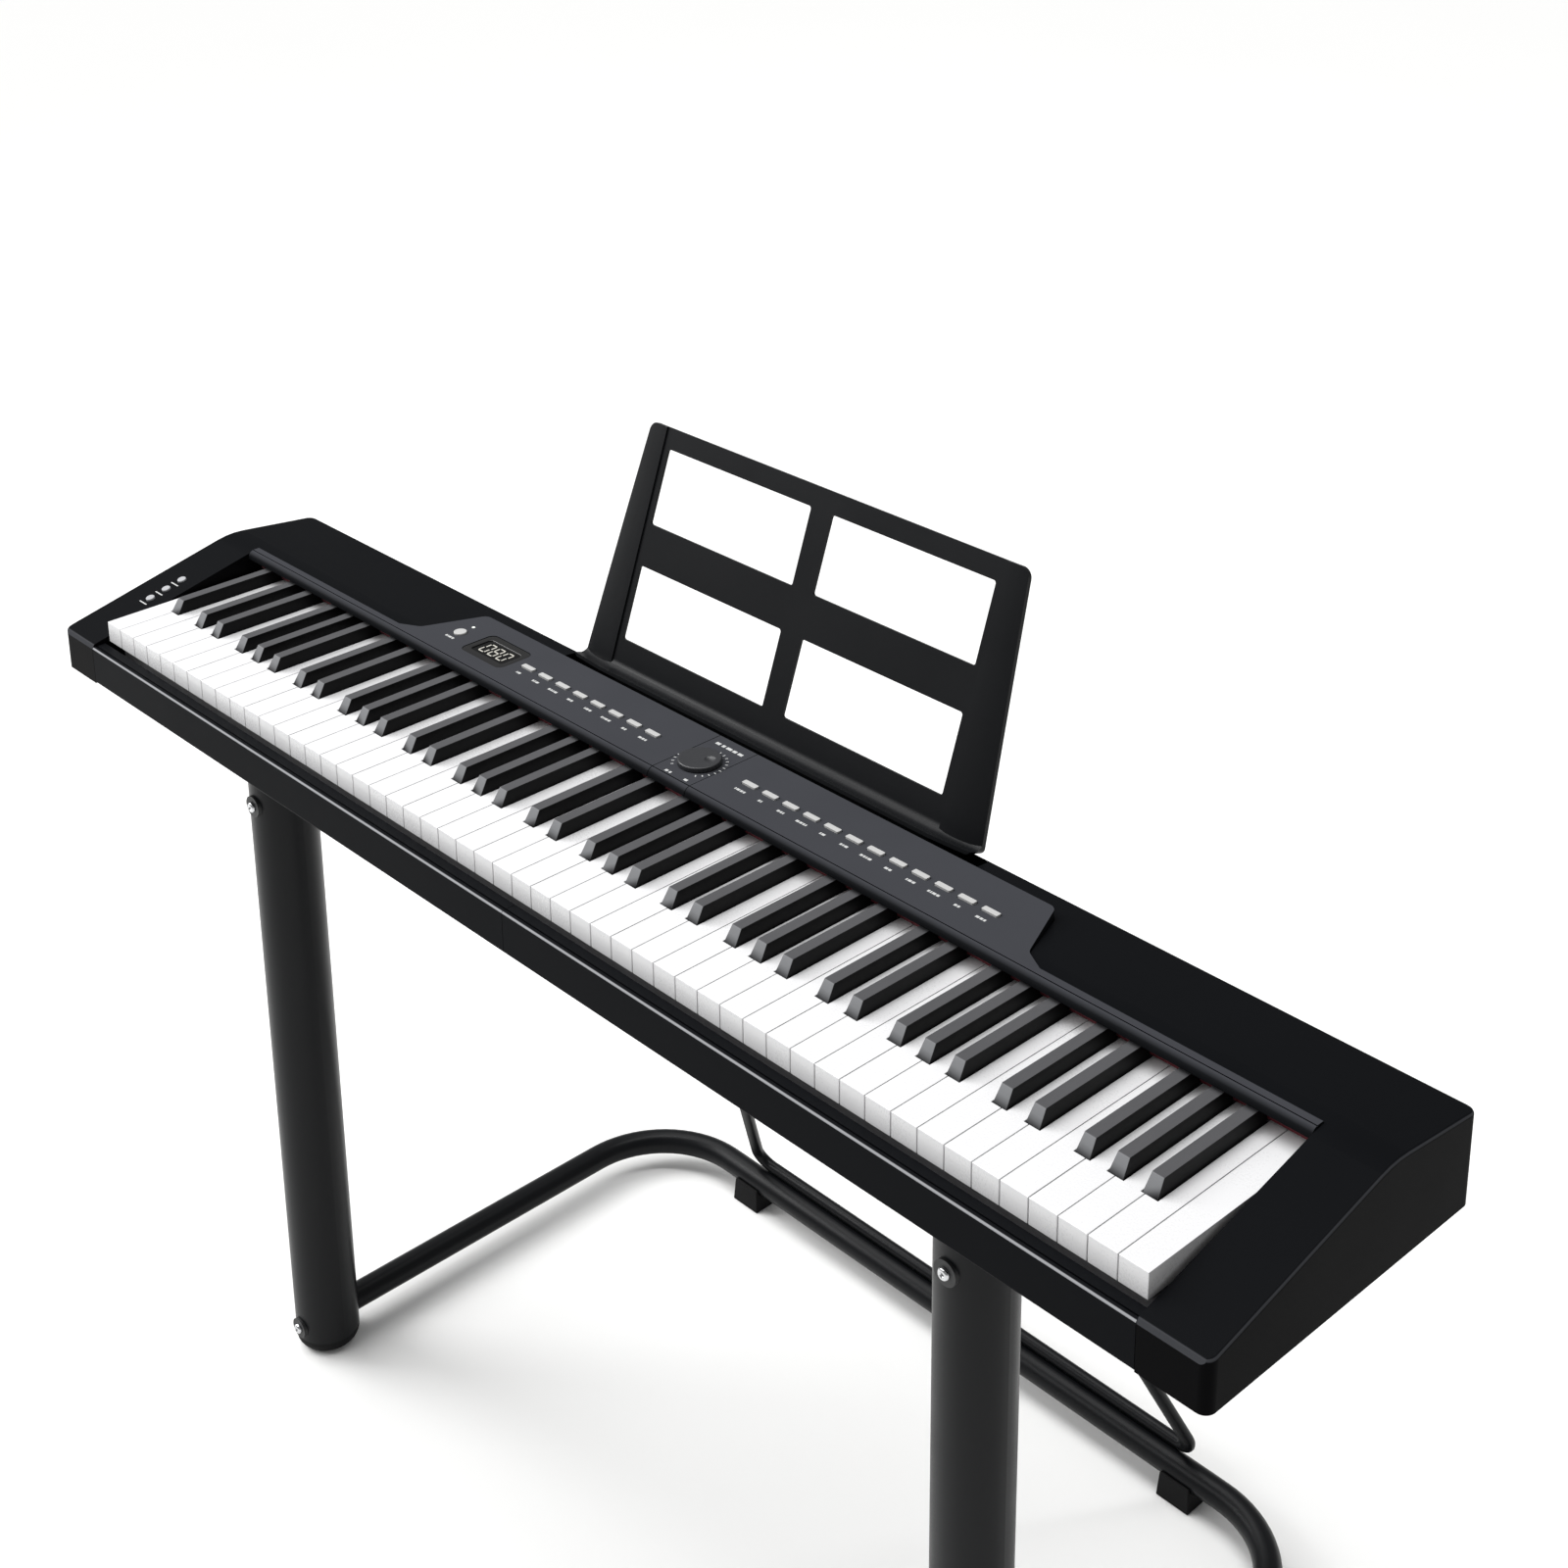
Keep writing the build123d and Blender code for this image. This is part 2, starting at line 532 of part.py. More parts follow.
def display():
    """Display frame and its smoked window."""
    z0, z1 = PANEL_TOP_Z - 4, PANEL_TOP_Z - 0.4
    frame = display_block(BEZEL_SIZE, BEZEL_CORNER, z0, z1)
    frame -= display_block(WINDOW_SIZE, WINDOW_CORNER, z0 - 1, z1 + 1)
    node("display_frame", frame)
    node("display_window", display_block(WINDOW_SIZE, WINDOW_CORNER, z0, z1 - 0.8))
    node("power_lamp", rod_z(LED_OD / 2, PANEL_TOP_Z - 5, PANEL_TOP_Z + 0.3, POWER_X, LED_F))


def buttons():
    """Rectangular buttons in pairs, the power button and the end cap's round buttons."""
    low = PANEL_TOP_Z + BUTTON_STAND - BUTTON_DEPTH
    high = PANEL_TOP_Z + BUTTON_STAND
    half_x, half_f = BUTTON_SIZE[0] / 2, BUTTON_SIZE[1] / 2
    caps = []
    for x in row_places():
        cap = block(x - half_x, x + half_x, CONTROL_F - half_f, CONTROL_F + half_f, low, high)
        caps.append(fillet(cap.edges().filter_by(Axis.Z), 1.0))
    for pair in range(len(caps) // 2):
        node("button_pair_%d" % (pair + 1), caps[2 * pair], caps[2 * pair + 1])
    power = rod_z(POWER_OD / 2, low, high, POWER_X, CONTROL_F)
    node("power_button", fillet(power.edges().sort_by(Axis.Z)[-1], 0.8))
    for i, (x, f) in enumerate(cap_button_places()):
        middle = BUTTON_STAND - BUTTON_DEPTH / 2
        cap = Pos(0, 0, middle) * Cylinder(CAP_BUTTON_OD / 2, BUTTON_DEPTH)
        cap = fillet(cap.edges().sort_by(Axis.Z)[-1], 0.8)
        node("end_cap_button_%d" % (i + 1), cap_frame(x, f) * cap)


def dial():
    """Round dial with a finger dimple and a shaft through the tile."""
    z0 = PANEL_TOP_Z + MOVING_GAP
    knob = rod_z(DIAL_OD / 2, z0, z0 + DIAL_HEIGHT, TILE_X, DIAL_F)
    knob = fillet(knob.edges().sort_by(Axis.Z)[-1], 1.2)
    dimple = Pos(TILE_X + 8, fy(DIAL_F) + 4, z0 + DIAL_HEIGHT + 7) * Sphere(8.5)
    knob -= dimple
    knob += rod_z(DIAL_SHAFT_OD / 2, z0 - 9, z0 + 1, TILE_X, DIAL_F)
    return knob


# ---- music rest ----------------------------------------------------------------
def rest_frame():
    """The rest's own frame: X across, Y up the plate, Z out of its front."""
    tilt = math.radians(REST_TILT)
    out = (0, -math.cos(tilt), math.sin(tilt))
    return Plane(origin=(REST_X, fy(REST_F), PANEL_TOP_Z), x_dir=(1, 0, 0), z_dir=out)


def wing_curve(sign, drop):
    """Crowned front of a wing from its fold to beyond its outer edge, lowered by drop."""
    step, crown = REST_BEAD
    reach = REST_BOTTOM_X + 4
    back = (reach - REST_FOLD_X) * math.tan(math.radians(REST_FOLD))
    start = (sign * REST_FOLD_X, step - drop)
    middle = (sign * (REST_FOLD_X + reach) / 2, (step - back) / 2 + crown - drop)
    return start, ThreePointArc(start, middle, (sign * reach, -back - drop))


def rest_sheet():
    """Plate and wings, drawn up the rest."""
    depth = REST_FOOT[1]
    plate = Box(2 * REST_FOLD_X, REST_HEIGHT + depth, REST_PLATE)
    sheet = Pos(0, (REST_HEIGHT - depth) / 2, -REST_PLATE / 2) * plate
    for sign in (-1, 1):
        low, rear = wing_curve(sign, REST_PLATE + REST_BEAD[0])
        high, front = wing_curve(sign, 0)
        lines = [front, rear, Line(low, high), Line(front @ 1, rear @ 1)]
        section = Plane.XZ * make_face(lines)
        sheet += Pos(0, -depth, 0) * extrude(section, -(REST_HEIGHT + depth))
    return sheet


def ledge_face():
    """Side profile of the ledge with its hollow corner against the plate."""
    ledge, thick = REST_LEDGE
    low = REST_LEDGE_V - thick
    round_in = REST_LEDGE_FILLET
    profile = [(REST_LEDGE_V + round_in, -0.5), (REST_LEDGE_V + round_in, 0)]
    for i in range(1, 6):
        angle = math.radians(90 * i / 6)
        z = round_in * (1 - math.cos(angle))
        profile.append((REST_LEDGE_V + round_in * (1 - math.sin(angle)), z))
    profile += [(REST_LEDGE_V, round_in), (REST_LEDGE_V, ledge), (low, ledge), (low, -0.5)]
    return Plane.YZ * make_face(Polyline(*profile, close=True))


def music_rest():
    """Plate with four windows, two crowned wings, a ledge and a foot for the trough."""
    low = REST_LEDGE_V - REST_LEDGE[1]
    half, depth = REST_FOOT[0] / 2, REST_FOOT[1]
    right = [(half, -depth), (half, low), (REST_BOTTOM_X, low), (REST_TOP_X, REST_HEIGHT)]
    outline = right + [(-x, v) for x, v in reversed(right)]
    blank = Pos(0, 0, -20) * extrude(make_face(Polyline(*outline, close=True)), 40)
    corners = blank.edges().filter_by(Axis.Z)
    top = corners.filter_by(lambda e: e.center().Y > REST_HEIGHT - 1)
    blank = fillet(top, REST_CORNER)
    wide = blank.edges().filter_by(Axis.Z).filter_by(lambda e: abs(e.center().X) > REST_BOTTOM_X - 1)
    blank = fillet(wide, REST_CORNER / 2)
    plate = rest_sheet()
    face = ledge_face()
    plate += Pos(-REST_FOLD_X, 0, 0) * extrude(face, 2 * REST_FOLD_X)
    turn = math.radians(REST_FOLD)
    for sign in (-1, 1):
        along = (sign * math.cos(turn), 0, -math.sin(turn))
        reach = (REST_BOTTOM_X + 4 - REST_FOLD_X) / math.cos(turn)
        plate += Pos(sign * REST_FOLD_X, 0, 0) * extrude(face, reach, dir=along)
    plate = plate & blank
    x0, x1 = REST_WINDOW_X
    for sign in (-1, 1):
        for v0, v1 in REST_WINDOW_V:
            place = Pos(sign * (x0 + x1) / 2, (v0 + v1) / 2, -REST_PLATE / 2)
            window = place * Box(x1 - x0, v1 - v0, 3 * REST_PLATE)
            plate -= fillet(window.edges().filter_by(Axis.Z), 2.5)
    return rest_frame() * plate


# ---- inside --------------------------------------------------------------------
def speaker(sign):
    """An oval driver over the floor slots: frame, cone and magnet."""
    place = Pos(sign * SPEAKER_X, fy(SPEAKER_F), CHASSIS_Z)
    width, depth = SPEAKER_SIZE
    frame = extrude(SlotOverall(width, depth), 4) - extrude(SlotOverall(width - 12, depth - 12), 5)
    cone = Pos(0, 0, 2) * extrude(SlotOverall(width - 10, depth - 10), 10, taper=22)
    magnet = Pos(0, 0, 10 + SPEAKER_MAGNET[1] / 2) * Cylinder(SPEAKER_MAGNET[0] / 2, SPEAKER_MAGNET[1])
    return place * (frame + cone + magnet)


def electronics():
    """Main board, sockets and the power inlet behind the keys."""
    z = PANEL_TOP_Z - 13
    board = block(-280, 280, KNEE_F + 16, PANEL_BACK_F - 10, z, z + BOARD_THICK)
    node("main_board", board)
    drop = KEY_TOP_Z - JACK_DROP
    sockets = []
    for x in JACK_X:
        barrel = rod_y(JACK_OD / 2, BODY_DEPTH - JACK_LENGTH, BODY_DEPTH, x, drop)
        sockets.append(barrel - rod_y(JACK_BORE / 2, BODY_DEPTH - JACK_LENGTH + 3, BODY_DEPTH + 1, x, drop))
    node("jack_sockets", *sockets)
    half = INLET_SIZE[0] / 2
    near = BODY_DEPTH - INLET_SIZE[1]
    inlet = block(INLET_X - half, INLET_X + half, near, BODY_DEPTH, drop - half, drop + half)
    inlet -= rod_y(INLET_BORE / 2, near + 2, BODY_DEPTH + 1, INLET_X, drop)
    node("power_inlet", inlet)


def case_screws():
    """Pan-head screws in the underside."""
    places = [(x, f) for x in (-560, -280, 0, 280, 560) for f in (36, 250)]
    heads = []
    for x, f in places:
        heads.append(rod_z(SCREW_OD / 2, BOTTOM_Z - SCREW_HEIGHT, BOTTOM_Z, x, f))
    return heads


# ---- stand ---------------------------------------------------------------------
UPPER_BOLT_Z = BOTTOM_Z - UPPER_BOLT_DROP


def leg(sign):
    """Round steel tube, open at both ends, bored for its two bolts and the floor tube."""
    x = sign * LEG_X
    low = FOOT_CAP_HEIGHT
    high = BOTTOM_Z - SOCKET_FLANGE[1]
    tube = rod_z(LEG_OD / 2, low, high, x, LEG_F) - rod_z(LEG_OD / 2 - LEG_WALL, low - 1, high + 1, x, LEG_F)
    for z in (UPPER_BOLT_Z, FLOOR_TUBE_Z):
        tube -= rod_y(BOLT_OD / 2, LEG_F - LEG_OD, LEG_F, x, z)
    return tube - rod_y(FLOOR_TUBE_OD / 2, LEG_F, LEG_F + LEG_OD, x, FLOOR_TUBE_Z)


def leg_pieces():
    """Foot caps, top sockets, bolts and washers of both legs."""
    caps, sockets, bolts, washers = [], [], [], []
    front = LEG_F - LEG_OD / 2
    inner = LEG_OD / 2 - LEG_WALL
    for sign in (-1, 1):
        x = sign * LEG_X
        cap = rod_z(LEG_OD / 2, 0, FOOT_CAP_HEIGHT, x, LEG_F)
        cap = fillet(cap.edges().sort_by(Axis.Z)[0], FOOT_CAP_EDGE)
        caps.append(cap)
        low = BOTTOM_Z - SOCKET_FLANGE[1] - SOCKET_LENGTH
        plug = rod_z(inner, low, BOTTOM_Z - SOCKET_FLANGE[1], x, LEG_F)
        plug += rod_z(SOCKET_FLANGE[0] / 2, BOTTOM_Z - SOCKET_FLANGE[1], BOTTOM_Z, x, LEG_F)
        plug -= rod_z(inner - SOCKET_WALL, low - 1, BOTTOM_Z - SOCKET_FLANGE[1], x, LEG_F)
        plug -= rod_y(BOLT_OD / 2, LEG_F - LEG_OD, LEG_F, x, UPPER_BOLT_Z)
        sockets.append(plug)
        for z in (UPPER_BOLT_Z, FLOOR_TUBE_Z):
            washer = rod_y(WASHER[0] / 2, front - WASHER[1] + 2, front + 2, x, z)
            washer -= rod_z(LEG_OD / 2, z - 20, z + 20, x, LEG_F)
            washers.append(washer - rod_y(BOLT_OD / 2, front - 9, front + 3, x, z))
            head = rod_y(BOLT_HEAD[0] / 2, front - 2 - BOLT_HEAD[1], front - 2, x, z)
            head = fillet(head.edges().sort_by(Axis.Y)[0], 1.2)
            bolts.append(head + rod_y(BOLT_OD / 2, front - 2, front - 2 + BOLT_LENGTH, x, z))
    node("leg_foot_caps", *caps)
    node("leg_sockets", *sockets)
    node("leg_bolts", *bolts)
    node("bolt_washers", *washers)


def floor_tube():
    """Bent tube: out of the back of one leg, round behind, into the other."""
    start = LEG_F - LEG_OD / 2 + LEG_WALL + 8
    route = [(-LEG_X, fy(start), FLOOR_TUBE_Z), (-LEG_X, fy(FLOOR_TUBE_F), FLOOR_TUBE_Z)]
    route += [(LEG_X, fy(FLOOR_TUBE_F), FLOOR_TUBE_Z), (LEG_X, fy(start), FLOOR_TUBE_Z)]
    path = FilletPolyline(*route, radius=FLOOR_TUBE_BEND)
    section = Plane(origin=path @ 0, z_dir=path % 0)
    ring = section * (Circle(FLOOR_TUBE_OD / 2) - Circle(FLOOR_TUBE_OD / 2 - FLOOR_TUBE_WALL))
    tube = sweep(ring, path=path)
    end = start + FLOOR_TUBE_PLUG
    for x in (-LEG_X, LEG_X):
        tube += rod_y(FLOOR_TUBE_OD / 2, start, end, x, FLOOR_TUBE_Z)
        tube -= rod_y(BOLT_OD / 2, start - 1, end + 1, x, FLOOR_TUBE_Z)
    return tube


def rear_brace():
    """Bent rod on the rear run, rising to two plates under the body."""
    rise = (FLOOR_TUBE_OD + BRACE_OD) / 2
    foot_f = FLOOR_TUBE_F + rise * math.sin(math.radians(30))
    foot_z = FLOOR_TUBE_Z + rise * math.cos(math.radians(30))
    top_z0 = BOTTOM_Z - BRACE_PLATE[2] + 0.5
    route = [(-BRACE_TOP_X, fy(BRACE_TOP_F), top_z0), (-BRACE_FOOT_X, fy(foot_f), foot_z)]
    route += [(BRACE_FOOT_X, fy(foot_f), foot_z), (BRACE_TOP_X, fy(BRACE_TOP_F), top_z0)]
    path = FilletPolyline(*route, radius=BRACE_BEND)
    section = Plane(origin=path @ 0, z_dir=path % 0)
    rod = sweep(section * Circle(BRACE_OD / 2), path=path)
    rod -= block(-HALF, HALF, 0, BODY_DEPTH + 50, BOTTOM_Z - 0.2, BOTTOM_Z + 60)
    for sign in (-1, 1):
        x = sign * BRACE_TOP_X
        half_x, half_f = BRACE_PLATE[0] / 2, BRACE_PLATE[1] / 2
        near, far = BRACE_TOP_F - half_f, BRACE_TOP_F + half_f
        rod += block(x - half_x, x + half_x, near, far, BOTTOM_Z - BRACE_PLATE[2], BOTTOM_Z)
    return rod


def brace_blocks():
    """Tapered rubber blocks that carry the rear run on the floor."""
    blocks = []
    width, depth = BLOCK_SIZE
    for sign in (-1, 1):
        place = Pos(sign * (BRACE_FOOT_X - 5), fy(FLOOR_TUBE_F), 0)
        rubber = place * extrude(Rectangle(width, depth), FLOOR_TUBE_Z - 2, taper=4)
        rubber -= rod_x(FLOOR_TUBE_OD / 2, -HALF, HALF, FLOOR_TUBE_F, FLOOR_TUBE_Z)
        blocks.append(rubber)
    return blocks


def build():
    """Make every sub-part."""
    keys()
    keybed()
    node("bottom_case", bottom_case())
    front_rails()
    node("top_case", top_case())
    control_panel()
    display()
    buttons()
    node("dial", dial())
    node("music_rest", music_rest())
    node("speaker_left", speaker(-1))
    node("speaker_right", speaker(1))
    electronics()
    node("case_screws", *case_screws())
    node("leg_left", leg(-1))
    node("leg_right", leg(1))
    leg_pieces()
    node("floor_tube", floor_tube())
    node("rear_brace", rear_brace())
    node("brace_blocks", *brace_blocks())


build()
os.makedirs("parts", exist_ok=True)
for name, shape in NODES.items():
    export_step(shape, os.path.join("parts", name + ".step"))
print(len(NODES), "nodes")
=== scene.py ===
"""Stage piano on a two-leg tube stand: finishes, small fittings and studio.

Laid out as an add-on. Sizes and colours are properties, each group of pieces is
an operator, and a sidebar panel lists them. Lengths are in metres, and +Z is up.
"""

import math

import bmesh
import bpy
from bpy.props import FloatProperty, FloatVectorProperty, IntProperty, PointerProperty
from mathutils import Matrix, Vector


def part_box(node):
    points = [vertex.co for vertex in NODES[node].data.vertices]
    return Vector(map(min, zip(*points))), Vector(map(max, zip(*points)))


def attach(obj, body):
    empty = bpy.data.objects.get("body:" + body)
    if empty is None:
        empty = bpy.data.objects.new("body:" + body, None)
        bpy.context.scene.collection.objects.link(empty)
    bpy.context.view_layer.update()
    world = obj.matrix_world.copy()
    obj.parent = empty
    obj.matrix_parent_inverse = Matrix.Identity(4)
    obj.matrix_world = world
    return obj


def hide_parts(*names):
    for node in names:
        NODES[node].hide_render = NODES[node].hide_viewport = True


bl_info = {
    "name": "Stage piano on a tube stand",
    "version": (1, 0, 0),
    "blender": (4, 5, 0),
    "location": "View3D > Sidebar > Piano",
    "description": "Finishes and small fittings of a stage piano, and its studio",
    "category": "Object",
}

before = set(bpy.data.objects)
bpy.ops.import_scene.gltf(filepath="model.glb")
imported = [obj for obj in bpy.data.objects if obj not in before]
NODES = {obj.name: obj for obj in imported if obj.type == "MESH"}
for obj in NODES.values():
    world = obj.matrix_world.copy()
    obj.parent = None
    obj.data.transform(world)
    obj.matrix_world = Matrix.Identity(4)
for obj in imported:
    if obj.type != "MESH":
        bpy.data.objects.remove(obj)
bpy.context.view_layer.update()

NOTES = "c c_sharp d d_sharp e f f_sharp g g_sharp a a_sharp b".split()
WHITE_KEYS = ["keys_" + note for note in NOTES if "sharp" not in note]
BLACK_KEYS = ["keys_" + note for note in NOTES if "sharp" in note]
BUTTON_PAIRS = ["button_pair_%d" % (i + 1) for i in range(10)]
END_BUTTONS = ["end_cap_button_%d" % (i + 1) for i in range(3)]
PANELS = ["control_panel_left", "control_panel_middle", "control_panel_right"]


def mm(length):
    """Millimetres as metres."""
    return length / 1000


def linear(code):
    """An sRGB hex colour as linear red, green and blue."""
    parts = [int(code[i : i + 2], 16) / 255 for i in (1, 3, 5)]
    return tuple(c / 12.92 if c <= 0.04045 else ((c + 0.055) / 1.055) ** 2.4 for c in parts)


# ---- properties ------------------------------------------------------------------
def length(name, description, default):
    """A length property, in metres."""
    return FloatProperty(name=name, description=description, default=default, unit="LENGTH", precision=5)


def colour(name, description, code):
    """A colour property, given as sRGB hex."""
    return FloatVectorProperty(
        name=name, description=description, default=linear(code), subtype="COLOR", min=0, max=1, size=3
    )


class PianoSizes(bpy.types.PropertyGroup):
    """Sizes of edges, printing and fittings."""

    panel_edge: length("Panel edge", "Rounding of the control panel's edges", mm(0.8))
    white_edge: length("White key edge", "Rounding of a white key's edges", mm(0.55))
    black_edge: length("Black key edge", "Rounding of a black key's edges", mm(0.9))
    button_edge: length("Button edge", "Rounding of the button caps", mm(0.4))
    rest_edge: length("Rest edge", "Rounding of the music rest's edges", mm(0.9))
    block_edge: length("Block edge", "Rounding of the rubber blocks", mm(2.0))
    ink: length("Ink", "Height that printed marks stand proud", mm(0.05))
    mark_height: length("Mark height", "Height of the marks under the buttons", mm(2.5))
    ring_radius: length("Dial ring", "Radius of the dashes round the dial", mm(22.0))
    ring_dots: IntProperty(name="Dial dots", description="Dots in the dial's scale", default=21, min=3)
    digit_height: length("Digit height", "Height of a display digit", mm(15.5))
    digit_pitch: length("Digit pitch", "Spacing of the display digits", mm(12.2))
    mark_drop: length("Mark drop", "From a button's middle forward to its mark", mm(11.0))
    button_half: length("Button half", "Half the length of a panel button", mm(7.5))
    bolt_head: length("Bolt head", "Radius of a leg bolt's head", mm(5.0))
    bolt_rise: length("Bolt rise", "Height of a leg bolt's head", mm(3.0))
    bolt_shank: length("Bolt shank", "Radius of a leg bolt's shank", mm(3.0))
    bolt_reach: length("Bolt reach", "Length of a leg bolt's shank", mm(22.0))
    screw_head: length("Screw head", "Radius of a case screw's head", mm(3.25))
    screw_shank: length("Screw shank", "Radius of a case screw's shank", mm(1.5))
    screw_reach: length("Screw reach", "Length of a case screw's shank", mm(1.0))
    inlet_pin: length("Inlet pin", "Radius of the power inlet's contact pin", mm(1.05))


class PianoColours(bpy.types.PropertyGroup):
    """Base colours of the finishes."""

    case: colour("Case", "Moulded case", "#111214")
    top: colour("Top", "Upper moulding with its end blocks", "#0E0F11")
    panel: colour("Panel", "Control panel", "#393A3E")
    white_key: colour("White keys", "White key tops", "#D6D6D7")
    black_key: colour("Black keys", "Black keys' tops and fronts", "#4A4A4C")
    button: colour("Buttons", "Button caps", "#ACACAB")
    ink: colour("Ink", "Printed marks", "#B4B5B4")
    digit: colour("Digits", "Lit display segments", "#B5B3AA")
    stand: colour("Stand", "Powder coat of the stand", "#101113")
    rubber: colour("Rubber", "Feet and blocks", "#0C0C0D")
    rest: colour("Rest", "Music rest", "#101113")
    red_felt: colour("Red felt", "Felt strip behind the keys", "#6A1020")
    grey_felt: colour("Grey felt", "Felt under the keys", "#77767A")
    floor: colour("Floor", "Studio floor", "#F7F7F6")


# Black coats reflect less than a polished plastic does, and grained black plastic hardly at all.
SATIN = {"IOR": 1.35, "Specular IOR Level": 0.25}
DULL = {"IOR": 1.35, "Specular IOR Level": 0.02}
METAL = {"Metallic": 1.0}

# Painted highlight on rounded edges, set by the upward part of a face's normal: its middle, and how far
# either side the painted highlight colour starts and is full.
HIGHLIGHT_TILT = 0.55
HIGHLIGHT_START, HIGHLIGHT_FULL = 0.34, 0.22

# Angle over which an edge of a carried-over piece is sharp enough to round, and the gap that
# its loose triangles are joined across.
SHARP = math.radians(32)
JOIN = mm(0.002)

# The end blocks' slope in side view: distance from the front, and height.
SLOPE_LOW = (0.0, mm(702.0))
SLOPE_HIGH = (mm(180.0), mm(744.0))

# Display digits: lean, width over height, bar width, and the bars each digit lights.
DIGIT_LEAN = 0.12
DIGIT_SHAPE = 0.56
DIGIT_BAR = mm(1.25)
DIGITS = {"0": "abcdef", "8": "abcdefg"}

# Dashes beside the dial, in millimetres from its middle: across, back and width.
BELOW_DIAL = ((-9, -27, 3.2), (-4.6, -27, 2.2), (13.5, -26.5, 3.8))
ABOVE_DIAL = (5, 3.4, 6, 4.4, 5.2)

# Studio: metres, degrees and watts.
SKY = 0.32
SUN_POWER, SUN_SIZE, SUN_WAY = 2.9, 70, (0.62, 0.35, -1.0)
FRONT_LEFT = ((-2.6, -1.2, 2.2), (0, 0, 0.7), (1.2, 1.2), 40)
OVERHEAD = ((-0.2, 0.1, 3.0), (0, -0.1, 0.7), (2.4, 0.25), 26)
CAMERA_PLACE = (1.33744, -1.20377, 1.70565)
CAMERA_TURN = (71.14778, 0.31897, 46.23949)
CAMERA_LENS = 56.883
CAMERA_SHIFT = (-0.02119, -0.28818)


# ---- finishes --------------------------------------------------------------------
def add(tree, kind, links=None, inputs=None, **settings):
    """Add a shader node with its settings, its input values and its incoming links."""
    made = tree.nodes.new(kind)
    for key, value in settings.items():
        setattr(made, key, value)
    for key, value in (inputs or {}).items():
        made.inputs[key].default_value = value
    for key, source in (links or {}).items():
        tree.links.new(source, made.inputs[key])
    return made


def surface(
    name,
    base,
    grain=0.5,
    relief=0.01,
    rough=(0.4, 0.5),
    tint=0.08,
    drift=60,
    stretch=(1, 1, 1),
    upright_shade=None,
    turn=(0.15, 0.4),
    edge=None,
    sockets=None,
):
    """A solid finish with a fine grain in its relief and slow drifts of colour and gloss.

    grain, relief and drift are in millimetres, and rough is the lowest and highest roughness.
    flank is a painted shade: the darker colour given to faces that stand upright, and turn is the upward tilt
    over which it gives way. edge is a painted highlight: the lighter colour given to rounded edges and slopes
    between upright and level.
    """
    material = bpy.data.materials.new(name)
    material.use_nodes = True
    tree = material.node_tree
    tree.nodes.clear()
    coords = add(tree, "ShaderNodeTexCoord")
    place = coords.outputs["Object"]
    turned = add(tree, "ShaderNodeMapping", {"Vector": place}, {"Scale": stretch}).outputs["Vector"]
    fine = add(tree, "ShaderNodeTexNoise", {"Vector": turned}, {"Scale": 1 / mm(grain), "Detail": 3.0})
    slow = add(tree, "ShaderNodeTexNoise", {"Vector": place}, {"Scale": 1 / mm(drift), "Detail": 4.0})
    dark = tuple(c * (1 - tint) for c in base) + (1,)
    light = tuple(min(1, c * (1 + tint)) for c in base) + (1,)
    blend = add(tree, "ShaderNodeMath", {0: fine.outputs["Fac"], 1: slow.outputs["Fac"]}, operation="ADD")
    half = add(tree, "ShaderNodeMath", {0: blend.outputs[0]}, {1: 0.5}, operation="MULTIPLY")
    shade = add(tree, "ShaderNodeMix", {"Factor": half.outputs[0]}, {"A": dark, "B": light}, data_type="RGBA")
    gloss = add(
        tree,
        "ShaderNodeMapRange",
        {"Value": half.outputs[0]},
        {"From Min": 0.35, "From Max": 0.65, "To Min": rough[0], "To Max": rough[1]},
    )
    bump = add(
        tree, "ShaderNodeBump", {"Height": fine.outputs["Fac"]}, {"Strength": 0.6, "Distance": mm(relief)}
    )
    paint = shade.outputs["Result"]
    facing = add(tree, "ShaderNodeSeparateXYZ", {"Vector": coords.outputs["Normal"]}).outputs["Z"]
    # Painted highlight: faces tilted between upright and level, as on rounded edges, take the lighter edge
    # colour.
    if edge:
        off = add(tree, "ShaderNodeMath", {0: facing}, {1: HIGHLIGHT_TILT}, operation="SUBTRACT")
        size = add(tree, "ShaderNodeMath", {0: off.outputs[0]}, operation="ABSOLUTE")
        share = add(
            tree,
            "ShaderNodeMapRange",
            {"Value": size.outputs[0]},
            {"From Min": HIGHLIGHT_START, "From Max": HIGHLIGHT_FULL},
        ).outputs["Result"]
        paint = add(
            tree, "ShaderNodeMix", {"Factor": share, "A": paint}, {"B": (*edge, 1)}, data_type="RGBA"
        ).outputs["Result"]
    # Painted shade: upright faces take the darker colour, which gives way to the finish as they tilt up.
    if upright_shade:
        up = add(
            tree, "ShaderNodeMapRange", {"Value": facing}, {"From Min": turn[0], "From Max": turn[1]}
        ).outputs["Result"]
        paint = add(
            tree, "ShaderNodeMix", {"Factor": up, "B": paint}, {"A": (*upright_shade, 1)}, data_type="RGBA"
        ).outputs["Result"]
    shader = add(
        tree,
        "ShaderNodeBsdfPrincipled",
        {"Base Color": paint, "Roughness": gloss.outputs["Result"], "Normal": bump.outputs["Normal"]},
        sockets,
        name="Finish",
    )
    add(tree, "ShaderNodeOutputMaterial", {"Surface": shader.outputs["BSDF"]})
    return material


